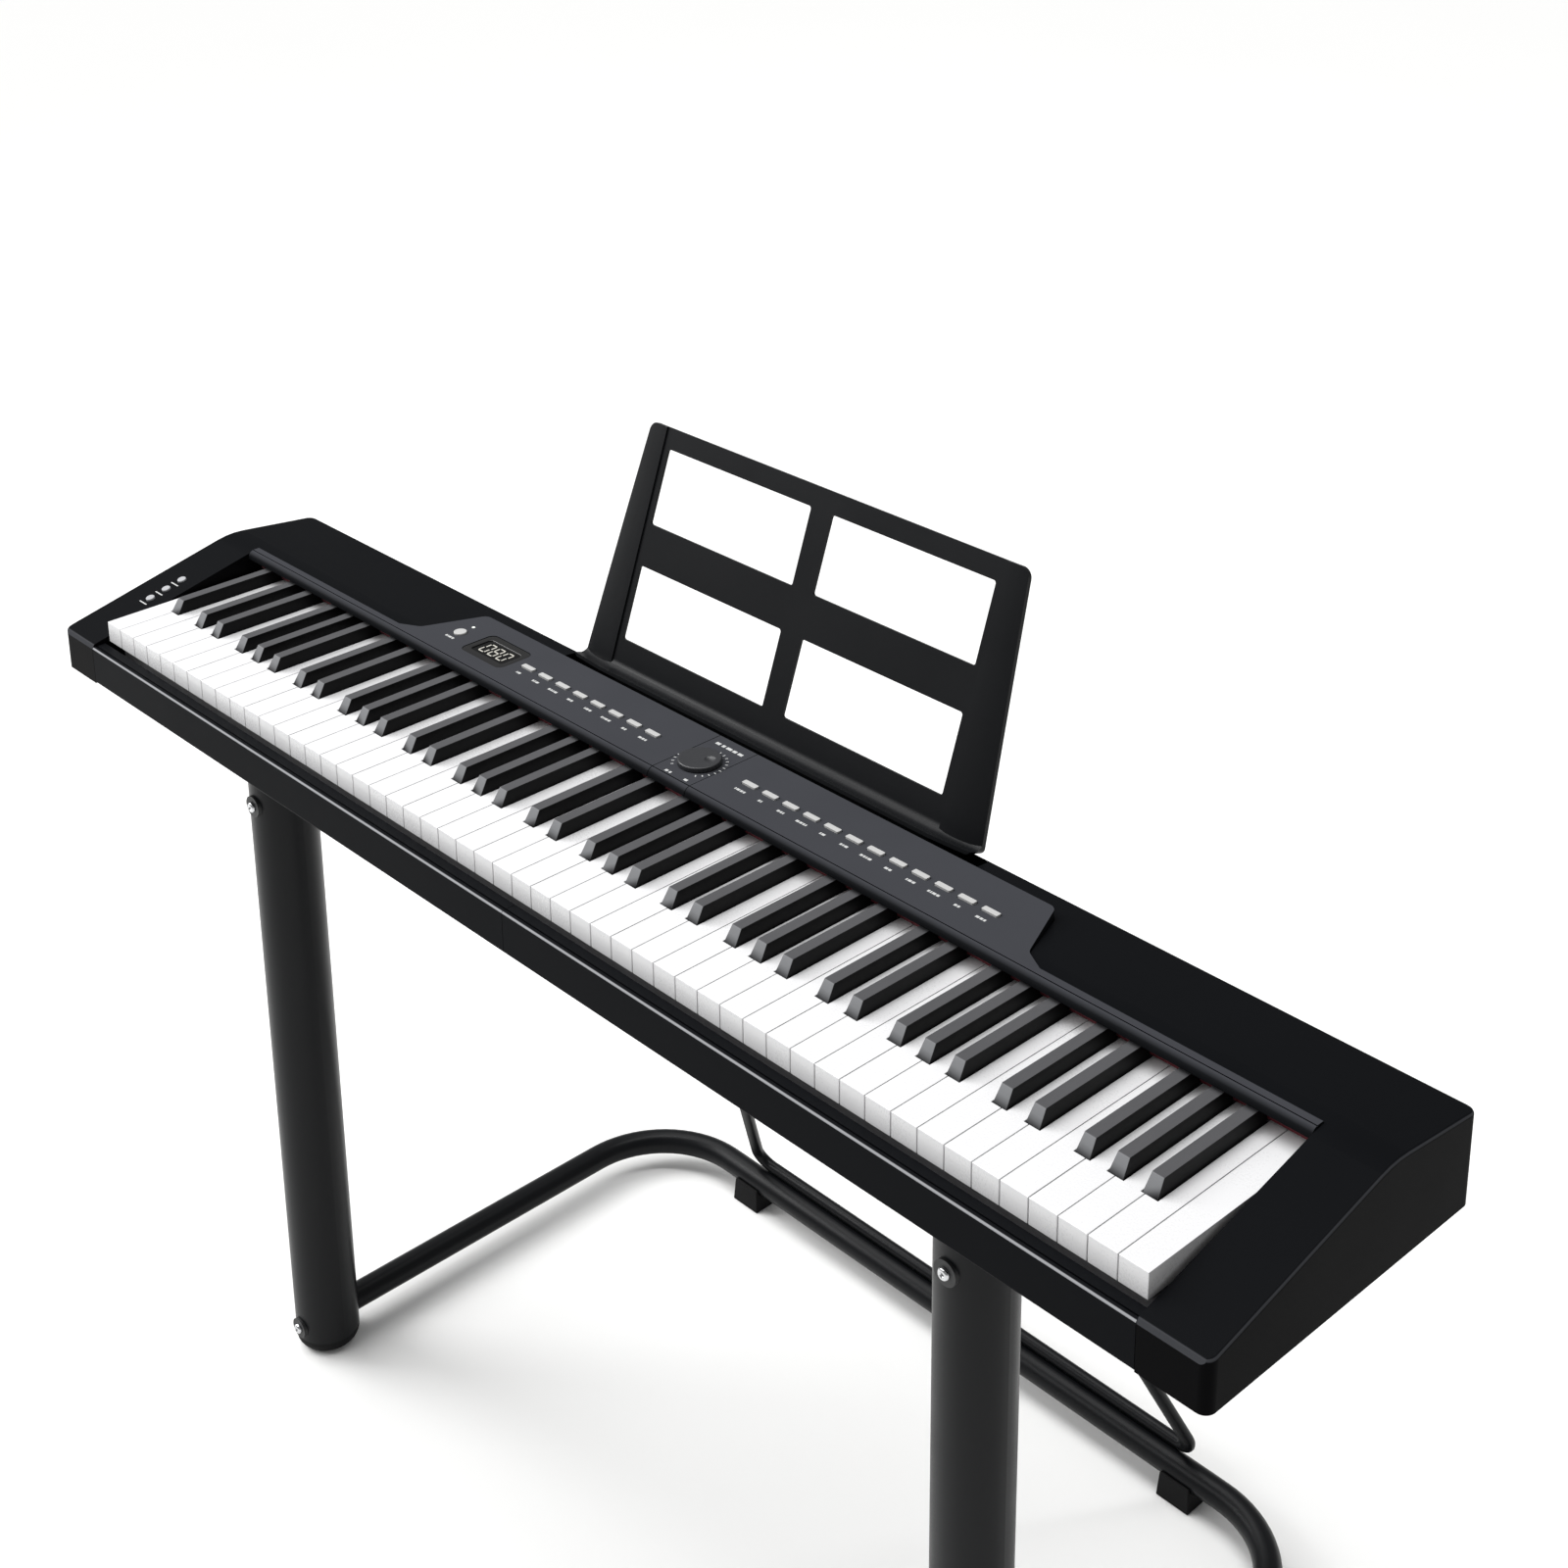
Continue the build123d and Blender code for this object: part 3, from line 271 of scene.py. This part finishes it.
# ---- pieces ----------------------------------------------------------------------
def soften(piece, edge, segments=2):
    """Round the sharp edges of a piece whose faces arrive as loose triangles."""
    weld = piece.modifiers.new("Weld", "WELD")
    weld.merge_threshold = JOIN
    bevel = piece.modifiers.new("Edge", "BEVEL")
    bevel.width = edge
    bevel.segments = segments
    bevel.limit_method = "ANGLE"
    bevel.angle_limit = SHARP
    bevel.use_clamp_overlap = True
    bevel.harden_normals = False
    weighted = piece.modifiers.new("Shade", "WEIGHTED_NORMAL")
    weighted.mode = "FACE_AREA"
    weighted.keep_sharp = False


def dress(names, material, edge=0.0, segments=2):
    """Give carried-over nodes their finish, and round their edges."""
    for name in names:
        piece = NODES[name]
        piece.data.materials.clear()
        piece.data.materials.append(material)
        if edge:
            soften(piece, edge, segments)


def make(name, bm, material, body, replaces=()):
    """Turn a bmesh into a finished piece that rides on a body."""
    mesh = bpy.data.meshes.new(name)
    bm.normal_update()
    bm.to_mesh(mesh)
    bm.free()
    mesh.materials.append(material)
    piece = bpy.data.objects.new(name, mesh)
    bpy.context.scene.collection.objects.link(piece)
    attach(piece, body)
    if replaces:
        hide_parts(*replaces)
    return piece


def bar(bm, centre, size, turn=None):
    """A small rectangular bar."""
    place = Matrix.Translation(centre) @ (turn or Matrix.Identity(4)) @ Matrix.Diagonal((*size, 1))
    return bmesh.ops.create_cube(bm, size=1, matrix=place)["verts"]


def dot(bm, centre, radius, height, turn=None, segments=14):
    """A small round dot."""
    place = Matrix.Translation(centre) @ (turn or Matrix.Identity(4))
    bmesh.ops.create_cone(
        bm, cap_ends=True, segments=segments, radius1=radius, radius2=radius, depth=height, matrix=place
    )


def ring_of(bm, segments, radius, height, turn=0.0):
    """Edges of a level ring of points."""
    place = Matrix.Translation((0, 0, height)) @ Matrix.Rotation(turn, 4, "Z")
    made = bmesh.ops.create_circle(bm, cap_ends=False, segments=segments, radius=radius, matrix=place)
    return list({edge for vert in made["verts"] for edge in vert.link_edges})


def move_into(bm, part, place):
    """Move a finished part to its place, and add it to a larger bmesh."""
    bmesh.ops.transform(part, matrix=place, verts=part.verts)
    mesh = bpy.data.meshes.new("part")
    part.to_mesh(mesh)
    part.free()
    bm.from_mesh(mesh)
    bpy.data.meshes.remove(mesh)


def socket_head(bm, place, radius, rise, shank, reach):
    """A button-head screw with a hexagon socket, its head along the place's +Z."""
    part = bmesh.new()
    rings = [
        ring_of(part, 32, shank, -reach),
        ring_of(part, 32, shank, 0),
        ring_of(part, 32, radius, 0),
        ring_of(part, 32, radius, rise * 0.25),
        ring_of(part, 32, radius * 0.93, rise * 0.62),
        ring_of(part, 32, radius * 0.76, rise * 0.9),
        ring_of(part, 32, radius * 0.56, rise),
        ring_of(part, 6, radius * 0.48, rise * 0.98),
        ring_of(part, 6, radius * 0.46, rise * 0.35),
    ]
    for low, high in zip(rings, rings[1:]):
        bmesh.ops.bridge_loops(part, edges=low + high)
    bmesh.ops.contextual_create(part, geom=rings[0])
    bmesh.ops.contextual_create(part, geom=rings[-1])
    bmesh.ops.recalc_face_normals(part, faces=part.faces)
    for face in part.faces:
        face.smooth = len(face.verts) == 4
    move_into(bm, part, place)


def centre_of(name):
    """Middle of a node's box."""
    low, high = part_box(name)
    return (low + high) / 2


class PianoOperator(bpy.types.Operator):
    """Shared settings of the piano's operators."""

    bl_options = {"REGISTER", "UNDO"}


class PIANO_OT_case(PianoOperator):
    """Finish the moulded case: end blocks, rails, tray, top and control panel."""

    bl_idname = "piano.case"
    bl_label = "Case"

    def execute(self, context):
        sizes, colours = context.scene.piano_sizes, context.scene.piano_colours
        # Injection-moulded ABS from a spark-eroded tool: a fine even grain that breaks up the shine.
        # Its rounded top edge carries a painted highlight, a lighter colour set by the face's tilt.
        case = surface(
            "case_grained_abs",
            colours.case,
            0.7,
            0.02,
            (0.34, 0.42),
            edge=linear("#909194"),
            sockets=DULL,
        )
        # The same ABS from a smoother tool: an even black, with a painted shade on its upright faces, such as
        # the end blocks' sides, and a faint painted highlight along its rounded edges.
        top = surface(
            "case_smooth_abs",
            colours.top,
            0.5,
            0.008,
            (0.3, 0.38),
            upright_shade=linear("#09090A"),
            edge=linear("#3A3B3E"),
            sockets=DULL,
        )
        # Control panel: ABS under a satin film, greyer than the case, with a painted shade that turns it
        # black over its rolled lip and on faces that tilt away from level.
        panel = surface(
            "panel_satin_film",
            colours.panel,
            0.45,
            0.03,
            (0.42, 0.52),
            0.14,
            upright_shade=linear("#141517"),
            turn=(0.6, 0.96),
            sockets=DULL,
        )
        dress(["front_rail_left", "front_rail_right", "bottom_case"], case)
        dress(["top_case"], top)
        dress(PANELS, panel, sizes.panel_edge, 3)
        return {"FINISHED"}


class PIANO_OT_keyboard(PianoOperator):
    """Finish the white and black keys."""

    bl_idname = "piano.keyboard"
    bl_label = "Keyboard"

    def execute(self, context):
        sizes, colours = context.scene.piano_sizes, context.scene.piano_colours
        # White keys: moulded acrylic, polished tops with a very light ripple.
        white = surface(
            "white_key_acrylic",
            colours.white_key,
            1.6,
            0.01,
            (0.24, 0.34),
            0.015,
            sockets={"Coat Weight": 0.2},
        )
        # Black keys: phenolic with a fine grain drawn along the key, grey on top. Its front slope and edges
        # carry a painted highlight, and its upright sides a painted shade that keeps them black.
        black = surface(
            "black_key_phenolic",
            colours.black_key,
            0.5,
            0.03,
            (0.4, 0.52),
            0.2,
            stretch=(1, 0.06, 1),
            upright_shade=linear("#060607"),
            edge=linear("#77787A"),
            sockets=SATIN,
        )
        dress(WHITE_KEYS, white, sizes.white_edge, 2)
        dress(BLACK_KEYS, black, sizes.black_edge, 3)
        return {"FINISHED"}


class PIANO_OT_controls(PianoOperator):
    """Finish the buttons, the dial and the lamp."""

    bl_idname = "piano.controls"
    bl_label = "Controls"

    def execute(self, context):
        sizes, colours = context.scene.piano_sizes, context.scene.piano_colours
        # Button caps: pale silicone-feel ABS with a fine matt grain.
        cap = surface("button_matt_abs", colours.button, 0.4, 0.01, (0.45, 0.55), 0.04)
        # Dial: dark ABS, turned smooth, a little glossier than the panel.
        dial = surface("dial_smooth_abs", linear("#242528"), 0.4, 0.008, (0.3, 0.4), 0.1)
        # Lamp lens: milky polycarbonate, faintly lit.
        lens = surface(
            "lamp_lens",
            linear("#D9DCD6"),
            0.6,
            0.002,
            (0.2, 0.28),
            sockets={"Emission Color": (*linear("#E8EFE4"), 1), "Emission Strength": 0.4},
        )
        dress(BUTTON_PAIRS, cap, sizes.button_edge)
        # The end block's buttons: the same ABS, a little greyer.
        grey = surface("end_button_matt_abs", linear("#9C9DA0"), 0.4, 0.01, (0.4, 0.5), 0.06)
        dress(["power_button"], cap)
        dress(END_BUTTONS, grey)
        dress(["dial"], dial)
        dress(["power_lamp"], lens)
        return {"FINISHED"}


class PIANO_OT_display(PianoOperator):
    """Finish the display's frame and window, and light its digits."""

    bl_idname = "piano.display"
    bl_label = "Display"

    def execute(self, context):
        sizes, colours = context.scene.piano_sizes, context.scene.piano_colours
        # Display frame: polished black ABS.
        frame_finish = surface("display_frame_gloss_abs", linear("#0C0C0D"), 0.6, 0.004, (0.16, 0.24))
        # Window: smoked acrylic, clear gloss over black.
        smoke = linear("#060607")
        window = surface("display_smoked_acrylic", smoke, 1.0, 0.002, (0.12, 0.18), sockets=SATIN)
        # Lit segments: pale diffused light, even across each bar.
        lit = surface(
            "display_segment_light",
            colours.digit,
            0.5,
            0.002,
            (0.4, 0.5),
            sockets={"Emission Color": (*colours.digit, 1), "Emission Strength": 0.2},
        )
        dress(["display_frame"], frame_finish, mm(0.5), 2)
        dress(["display_window"], window)
        low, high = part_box("display_window")
        middle = (low + high) / 2
        height, width, bar_width = sizes.digit_height, sizes.digit_height * DIGIT_SHAPE, DIGIT_BAR
        half_w, half_h = width / 2 - bar_width / 2, height / 2 - bar_width / 2
        reach_x, reach_y = width - 2 * bar_width, height / 2 - 1.7 * bar_width
        bars = {
            "a": (0, half_h, reach_x, bar_width),
            "b": (half_w, half_h / 2, bar_width, reach_y),
            "c": (half_w, -half_h / 2, bar_width, reach_y),
            "d": (0, -half_h, reach_x, bar_width),
            "e": (-half_w, -half_h / 2, bar_width, reach_y),
            "f": (-half_w, half_h / 2, bar_width, reach_y),
            "g": (0, 0, reach_x, bar_width),
        }
        bm = bmesh.new()
        for i, digit in enumerate("080"):
            for letter in DIGITS[digit]:
                x, y, size_x, size_y = bars[letter]
                x += DIGIT_LEAN * y
                place = Vector((middle.x + (i - 1) * sizes.digit_pitch + x, middle.y + y, high.z))
                bar(bm, place, (size_x, size_y, 2 * sizes.ink))
        make("display_digits", bm, lit, "case")
        return {"FINISHED"}


class PIANO_OT_printing(PianoOperator):
    """Print the marks under the buttons, the dial's scale and the marks on the end block."""

    bl_idname = "piano.printing"
    bl_label = "Printing"

    def execute(self, context):
        sizes, colours = context.scene.piano_sizes, context.scene.piano_colours
        # Pad-printed ink: thin, matt and slightly uneven.
        ink = surface("pad_printed_ink", colours.ink, 0.4, 0.01, (0.5, 0.65), 0.1)
        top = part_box("control_panel_left")[1].z + sizes.ink / 2
        bm = bmesh.new()
        count = 0
        for name in BUTTON_PAIRS:
            low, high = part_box(name)
            for x in (low.x + sizes.button_half, high.x - sizes.button_half):
                self.dashes(bm, Vector((x, (low.y + high.y) / 2 - sizes.mark_drop, top)), count, sizes)
                count += 1
        power = centre_of("power_button")
        self.dashes(bm, Vector((power.x, power.y - mm(11.5), top)), 5, sizes)
        make("panel_marks", bm, ink, "case")
        bm = bmesh.new()
        dial = centre_of("dial")
        dial.z = top
        for i in range(sizes.ring_dots):
            angle = math.radians(-50 + 280 * i / (sizes.ring_dots - 1))
            place = Vector((math.cos(angle), math.sin(angle), 0)) * sizes.ring_radius
            bar(bm, dial + place, (mm(2.4), mm(0.9), sizes.ink), Matrix.Rotation(angle, 4, "Z"))
        for x, y, wide in BELOW_DIAL:
            bar(bm, dial + Vector((mm(x), mm(y), 0)), (mm(wide), mm(2.6), sizes.ink))
        for i, wide in enumerate(ABOVE_DIAL):
            bar(bm, dial + Vector((mm(-13 + 6.6 * i), mm(31.5), 0)), (mm(wide), mm(3.2), sizes.ink))
        make("dial_scale", bm, ink, "case")
        bm = bmesh.new()
        for name in END_BUTTONS:
            low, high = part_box(name)
            middle = (low + high) / 2
            y = middle.y - mm(8.3)
            place = Vector((middle.x, y, end_block_height(y) + sizes.ink / 2))
            bar(bm, place, (mm(12), mm(1.2), sizes.ink), end_block_slope())
        make("end_block_marks", bm, ink, "case")
        return {"FINISHED"}

    def dashes(self, bm, centre, seed, sizes):
        """A short row of dashes, of a length that changes with seed."""
        lengths = [mm(1.3 + 0.7 * ((seed * 5 + j * 3) % 4)) for j in range(2 + seed * 7 % 3)]
        gap = mm(0.7)
        x = centre.x - (sum(lengths) + gap * (len(lengths) - 1)) / 2
        for size in lengths:
            bar(bm, Vector((x + size / 2, centre.y, centre.z)), (size, sizes.mark_height, sizes.ink))
            x += size + gap


def end_block_height(y):
    """Height of the end block's slope at a place along Y."""
    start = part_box("top_case")[0].y
    share = (y - start - SLOPE_LOW[0]) / (SLOPE_HIGH[0] - SLOPE_LOW[0])
    return SLOPE_LOW[1] + (SLOPE_HIGH[1] - SLOPE_LOW[1]) * share


def end_block_slope():
    """The turn that lays a level mark on the end block's slope."""
    rise = SLOPE_HIGH[1] - SLOPE_LOW[1]
    return Matrix.Rotation(math.atan2(rise, SLOPE_HIGH[0] - SLOPE_LOW[0]), 4, "X")


class PIANO_OT_music_rest(PianoOperator):
    """Finish the music rest."""

    bl_idname = "piano.music_rest"
    bl_label = "Music rest"

    def execute(self, context):
        sizes, colours = context.scene.piano_sizes, context.scene.piano_colours
        # Music rest: moulded ABS sheet, satin with a soft sheen on the folded wings.
        rest = surface("rest_satin_abs", colours.rest, 0.5, 0.015, (0.34, 0.42), sockets=SATIN)
        dress(["music_rest"], rest, sizes.rest_edge, 3)
        return {"FINISHED"}


class PIANO_OT_stand(PianoOperator):
    """Finish the legs, the floor tube, the brace and the feet."""

    bl_idname = "piano.stand"
    bl_label = "Stand"

    def execute(self, context):
        sizes, colours = context.scene.piano_sizes, context.scene.piano_colours
        # Powder-coated steel: semi-gloss with the light ripple of a baked coat.
        coat = surface("stand_powder_coat", colours.stand, 1.3, 0.03, (0.3, 0.4), sockets=SATIN)
        # Nitrile rubber: dull, with a faint bloom.
        rubber = surface("feet_nitrile_rubber", colours.rubber, 0.6, 0.03, (0.6, 0.75), 0.15, sockets=SATIN)
        # Leg plugs: glass-filled nylon, dull.
        nylon = surface("plug_filled_nylon", linear("#1E1F20"), 0.5, 0.02, (0.5, 0.6))
        dress(["leg_left", "leg_right", "floor_tube", "rear_brace"], coat)
        dress(["leg_foot_caps"], rubber)
        dress(["brace_blocks"], rubber, sizes.block_edge, 3)
        dress(["leg_sockets"], nylon)
        dress(["bolt_washers"], nylon)
        return {"FINISHED"}


class PIANO_OT_fasteners(PianoOperator):
    """Make the leg bolts and the case screws with their sockets."""

    bl_idname = "piano.fasteners"
    bl_label = "Fasteners"

    def execute(self, context):
        sizes = context.scene.piano_sizes
        # Bright chrome plate on steel.
        plate = linear("#C9CACC")
        chrome = surface("bolt_chrome", plate, 0.8, 0.002, (0.08, 0.14), 0.03, sockets=METAL)
        # Black zinc plate on steel: a dark dull metal.
        zinc = surface("screw_black_zinc", linear("#2A2B2D"), 0.5, 0.01, (0.35, 0.45), sockets=METAL)
        low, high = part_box("leg_bolts")
        forward = Matrix.Rotation(math.radians(90), 4, "X")
        bm = bmesh.new()
        radius, rise = sizes.bolt_head, sizes.bolt_rise
        for x in (low.x + radius, high.x - radius):
            for z in (low.z + radius, high.z - radius):
                place = Matrix.Translation((x, low.y + rise, z)) @ forward
                socket_head(bm, place, radius, rise, sizes.bolt_shank, sizes.bolt_reach)
        make("leg_bolt_heads", bm, chrome, "case", ["leg_bolts"])
        low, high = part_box("case_screws")
        radius, rise = sizes.screw_head, high.z - low.z
        down = Matrix.Rotation(math.radians(180), 4, "X")
        bm = bmesh.new()
        for i in range(5):
            x = low.x + radius + (high.x - low.x - 2 * radius) * i / 4
            for y in (low.y + radius, high.y - radius):
                place = Matrix.Translation((x, y, high.z)) @ down
                socket_head(bm, place, radius, rise, sizes.screw_shank, sizes.screw_reach)
        make("case_screw_heads", bm, zinc, "case", ["case_screws"])
        return {"FINISHED"}


class PIANO_OT_sockets(PianoOperator):
    """Finish the sockets on the back, and fit their rings and contacts."""

    bl_idname = "piano.sockets"
    bl_label = "Sockets"

    def execute(self, context):
        # Socket bodies: glossy nylon.
        body = surface("socket_nylon", linear("#101011"), 0.5, 0.006, (0.25, 0.35))
        # Rings: nickel plate.
        plate = linear("#B9B5AC")
        nickel = surface("socket_nickel", plate, 0.6, 0.004, (0.16, 0.26), 0.05, sockets=METAL)
        dress(["jack_sockets", "power_inlet"], body)
        bm = bmesh.new()
        low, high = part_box("jack_sockets")
        radius = (high.z - low.z) / 2
        turn = Matrix.Rotation(math.radians(-90), 4, "X")
        for i in range(3):
            x = low.x + radius + (high.x - low.x - 2 * radius) * i / 2
            part = bmesh.new()
            rings = [
                ring_of(part, 36, radius * 1.32, 0),
                ring_of(part, 36, radius * 1.32, mm(1.3)),
                ring_of(part, 36, radius * 1.18, mm(1.7)),
                ring_of(part, 36, radius * 0.66, mm(1.7)),
                ring_of(part, 36, radius * 0.61, mm(1.2)),
                ring_of(part, 36, radius * 0.61, mm(-0.1)),
            ]
            for a, b in zip(rings, rings[1:] + rings[:1]):
                bmesh.ops.bridge_loops(part, edges=a + b)
            bmesh.ops.recalc_face_normals(part, faces=part.faces)
            move_into(bm, part, Matrix.Translation((x, high.y, (low.z + high.z) / 2)) @ turn)
        middle = centre_of("power_inlet")
        low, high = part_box("power_inlet")
        place = Vector((middle.x, high.y - mm(5.2), middle.z))
        dot(bm, place, context.scene.piano_sizes.inlet_pin, mm(8.0), turn, 20)
        make("socket_rings", bm, nickel, "case")
        return {"FINISHED"}


class PIANO_OT_interior(PianoOperator):
    """Finish what shows under the keys and through the gaps."""

    bl_idname = "piano.interior"
    bl_label = "Interior"

    def execute(self, context):
        colours = context.scene.piano_colours
        # Name felt: dyed wool, a short tangled nap that scatters light.
        nap = {"Sheen Weight": 0.4}
        red = surface("name_wool_felt", colours.red_felt, 0.35, 0.12, (0.85, 0.95), 0.3, 4, sockets=nap)
        # Stop felt: grey pressed wool with the same nap.
        nap = {"Sheen Weight": 0.3}
        grey = surface("stop_wool_felt", colours.grey_felt, 0.35, 0.12, (0.85, 0.95), 0.25, 4, sockets=nap)
        # Zinc-plated steel: bright passivated metal with a broad spangle.
        bright = linear("#A9AAA8")
        zinc = surface("chassis_zinc_steel", bright, 3.0, 0.01, (0.28, 0.42), 0.1, sockets=METAL)
        # Circuit boards: glass epoxy under green solder mask, with faint copper lanes below.
        board = surface("board_glass_epoxy", linear("#1B4A2C"), 1.2, 0.02, (0.3, 0.4), 0.3, 3, (1, 0.1, 1))
        # Contact strip: grey silicone.
        silicone = surface("strip_silicone", linear("#8B8C8E"), 0.5, 0.01, (0.5, 0.6))
        # Speaker: pressed paper cone and ferrite magnet, dull black.
        paper = surface("speaker_pressed_paper", linear("#1A1A1A"), 0.4, 0.05, (0.7, 0.85), 0.25)
        dress(["name_felt"], red)
        dress(["key_stop_felt"], grey)
        dress(["key_chassis", "key_hinge_rod"], zinc)
        dress(["contact_board", "main_board"], board)
        dress(["contact_strip"], silicone)
        dress(["speaker_left", "speaker_right"], paper)
        return {"FINISHED"}


class PIANO_OT_studio(PianoOperator):
    """Lay the floor, set the lights and place the camera."""

    bl_idname = "piano.studio"
    bl_label = "Studio"

    def execute(self, context):
        scene = context.scene
        colours = scene.piano_colours
        # Painted studio floor: pale, matt and even.
        paint = surface("studio_floor_paint", colours.floor, 3.0, 0.02, (0.8, 0.9), 0.01, 900)
        bm = bmesh.new()
        bmesh.ops.create_grid(bm, x_segments=1, y_segments=1, size=30)
        mesh = bpy.data.meshes.new("studio_floor")
        bm.to_mesh(mesh)
        bm.free()
        mesh.materials.append(paint)
        floor = bpy.data.objects.new("studio_floor", mesh)
        scene.collection.objects.link(floor)
        world = bpy.data.worlds.new("studio_air")
        world.use_nodes = True
        air = world.node_tree.nodes["Background"]
        air.inputs["Color"].default_value = (1, 1, 1, 1)
        air.inputs["Strength"].default_value = SKY
        scene.world = world
        high = bpy.data.lights.new("key_light", "SUN")
        high.energy = SUN_POWER
        high.angle = math.radians(SUN_SIZE)
        sun = bpy.data.objects.new("key_light", high)
        scene.collection.objects.link(sun)
        sun.rotation_euler = Vector(SUN_WAY).to_track_quat("-Z", "Y").to_euler()
        self.softbox(scene, "front_left", *FRONT_LEFT)
        self.softbox(scene, "overhead", *OVERHEAD)
        scene.view_settings.view_transform = "Standard"
        lens = bpy.data.cameras.new("camera")
        camera = bpy.data.objects.new("camera", lens)
        scene.collection.objects.link(camera)
        lens.sensor_width = 36
        lens.lens = CAMERA_LENS
        lens.shift_x, lens.shift_y = CAMERA_SHIFT
        lens.clip_end = 100
        camera.location = CAMERA_PLACE
        camera.rotation_euler = [math.radians(a) for a in CAMERA_TURN]
        scene.camera = camera
        return {"FINISHED"}

    def softbox(self, scene, name, place, aim, size, power):
        """A rectangular soft light that faces aim."""
        data = bpy.data.lights.new(name, "AREA")
        data.shape = "RECTANGLE"
        data.size, data.size_y = size
        data.energy = power
        light = bpy.data.objects.new(name, data)
        scene.collection.objects.link(light)
        light.location = place
        light.rotation_euler = (Vector(aim) - Vector(place)).to_track_quat("-Z", "Y").to_euler()


OPERATORS = (
    PIANO_OT_case,
    PIANO_OT_keyboard,
    PIANO_OT_controls,
    PIANO_OT_display,
    PIANO_OT_printing,
    PIANO_OT_music_rest,
    PIANO_OT_stand,
    PIANO_OT_fasteners,
    PIANO_OT_sockets,
    PIANO_OT_interior,
    PIANO_OT_studio,
)


class PIANO_PT_build(bpy.types.Panel):
    """Sidebar panel that lists the sizes, the colours and the operators."""

    bl_label = "Piano"
    bl_idname = "PIANO_PT_build"
    bl_space_type = "VIEW_3D"
    bl_region_type = "UI"
    bl_category = "Piano"

    def draw(self, context):
        for group in (context.scene.piano_sizes, context.scene.piano_colours):
            box = self.layout.box()
            for name in group.__annotations__:
                box.prop(group, name)
        for operator in OPERATORS:
            self.layout.operator(operator.bl_idname)


CLASSES = (PianoSizes, PianoColours, *OPERATORS, PIANO_PT_build)


def register():
    """Register the classes and the scene's properties."""
    for cls in CLASSES:
        bpy.utils.register_class(cls)
    bpy.types.Scene.piano_sizes = PointerProperty(type=PianoSizes)
    bpy.types.Scene.piano_colours = PointerProperty(type=PianoColours)


def unregister():
    """Take back what register() did."""
    del bpy.types.Scene.piano_colours
    del bpy.types.Scene.piano_sizes
    for cls in reversed(CLASSES):
        bpy.utils.unregister_class(cls)


def main():
    """Run every operator in order."""
    register()
    for operator in OPERATORS:
        group, name = operator.bl_idname.split(".")
        getattr(getattr(bpy.ops, group), name)()


if __name__ == "__main__":
    main()
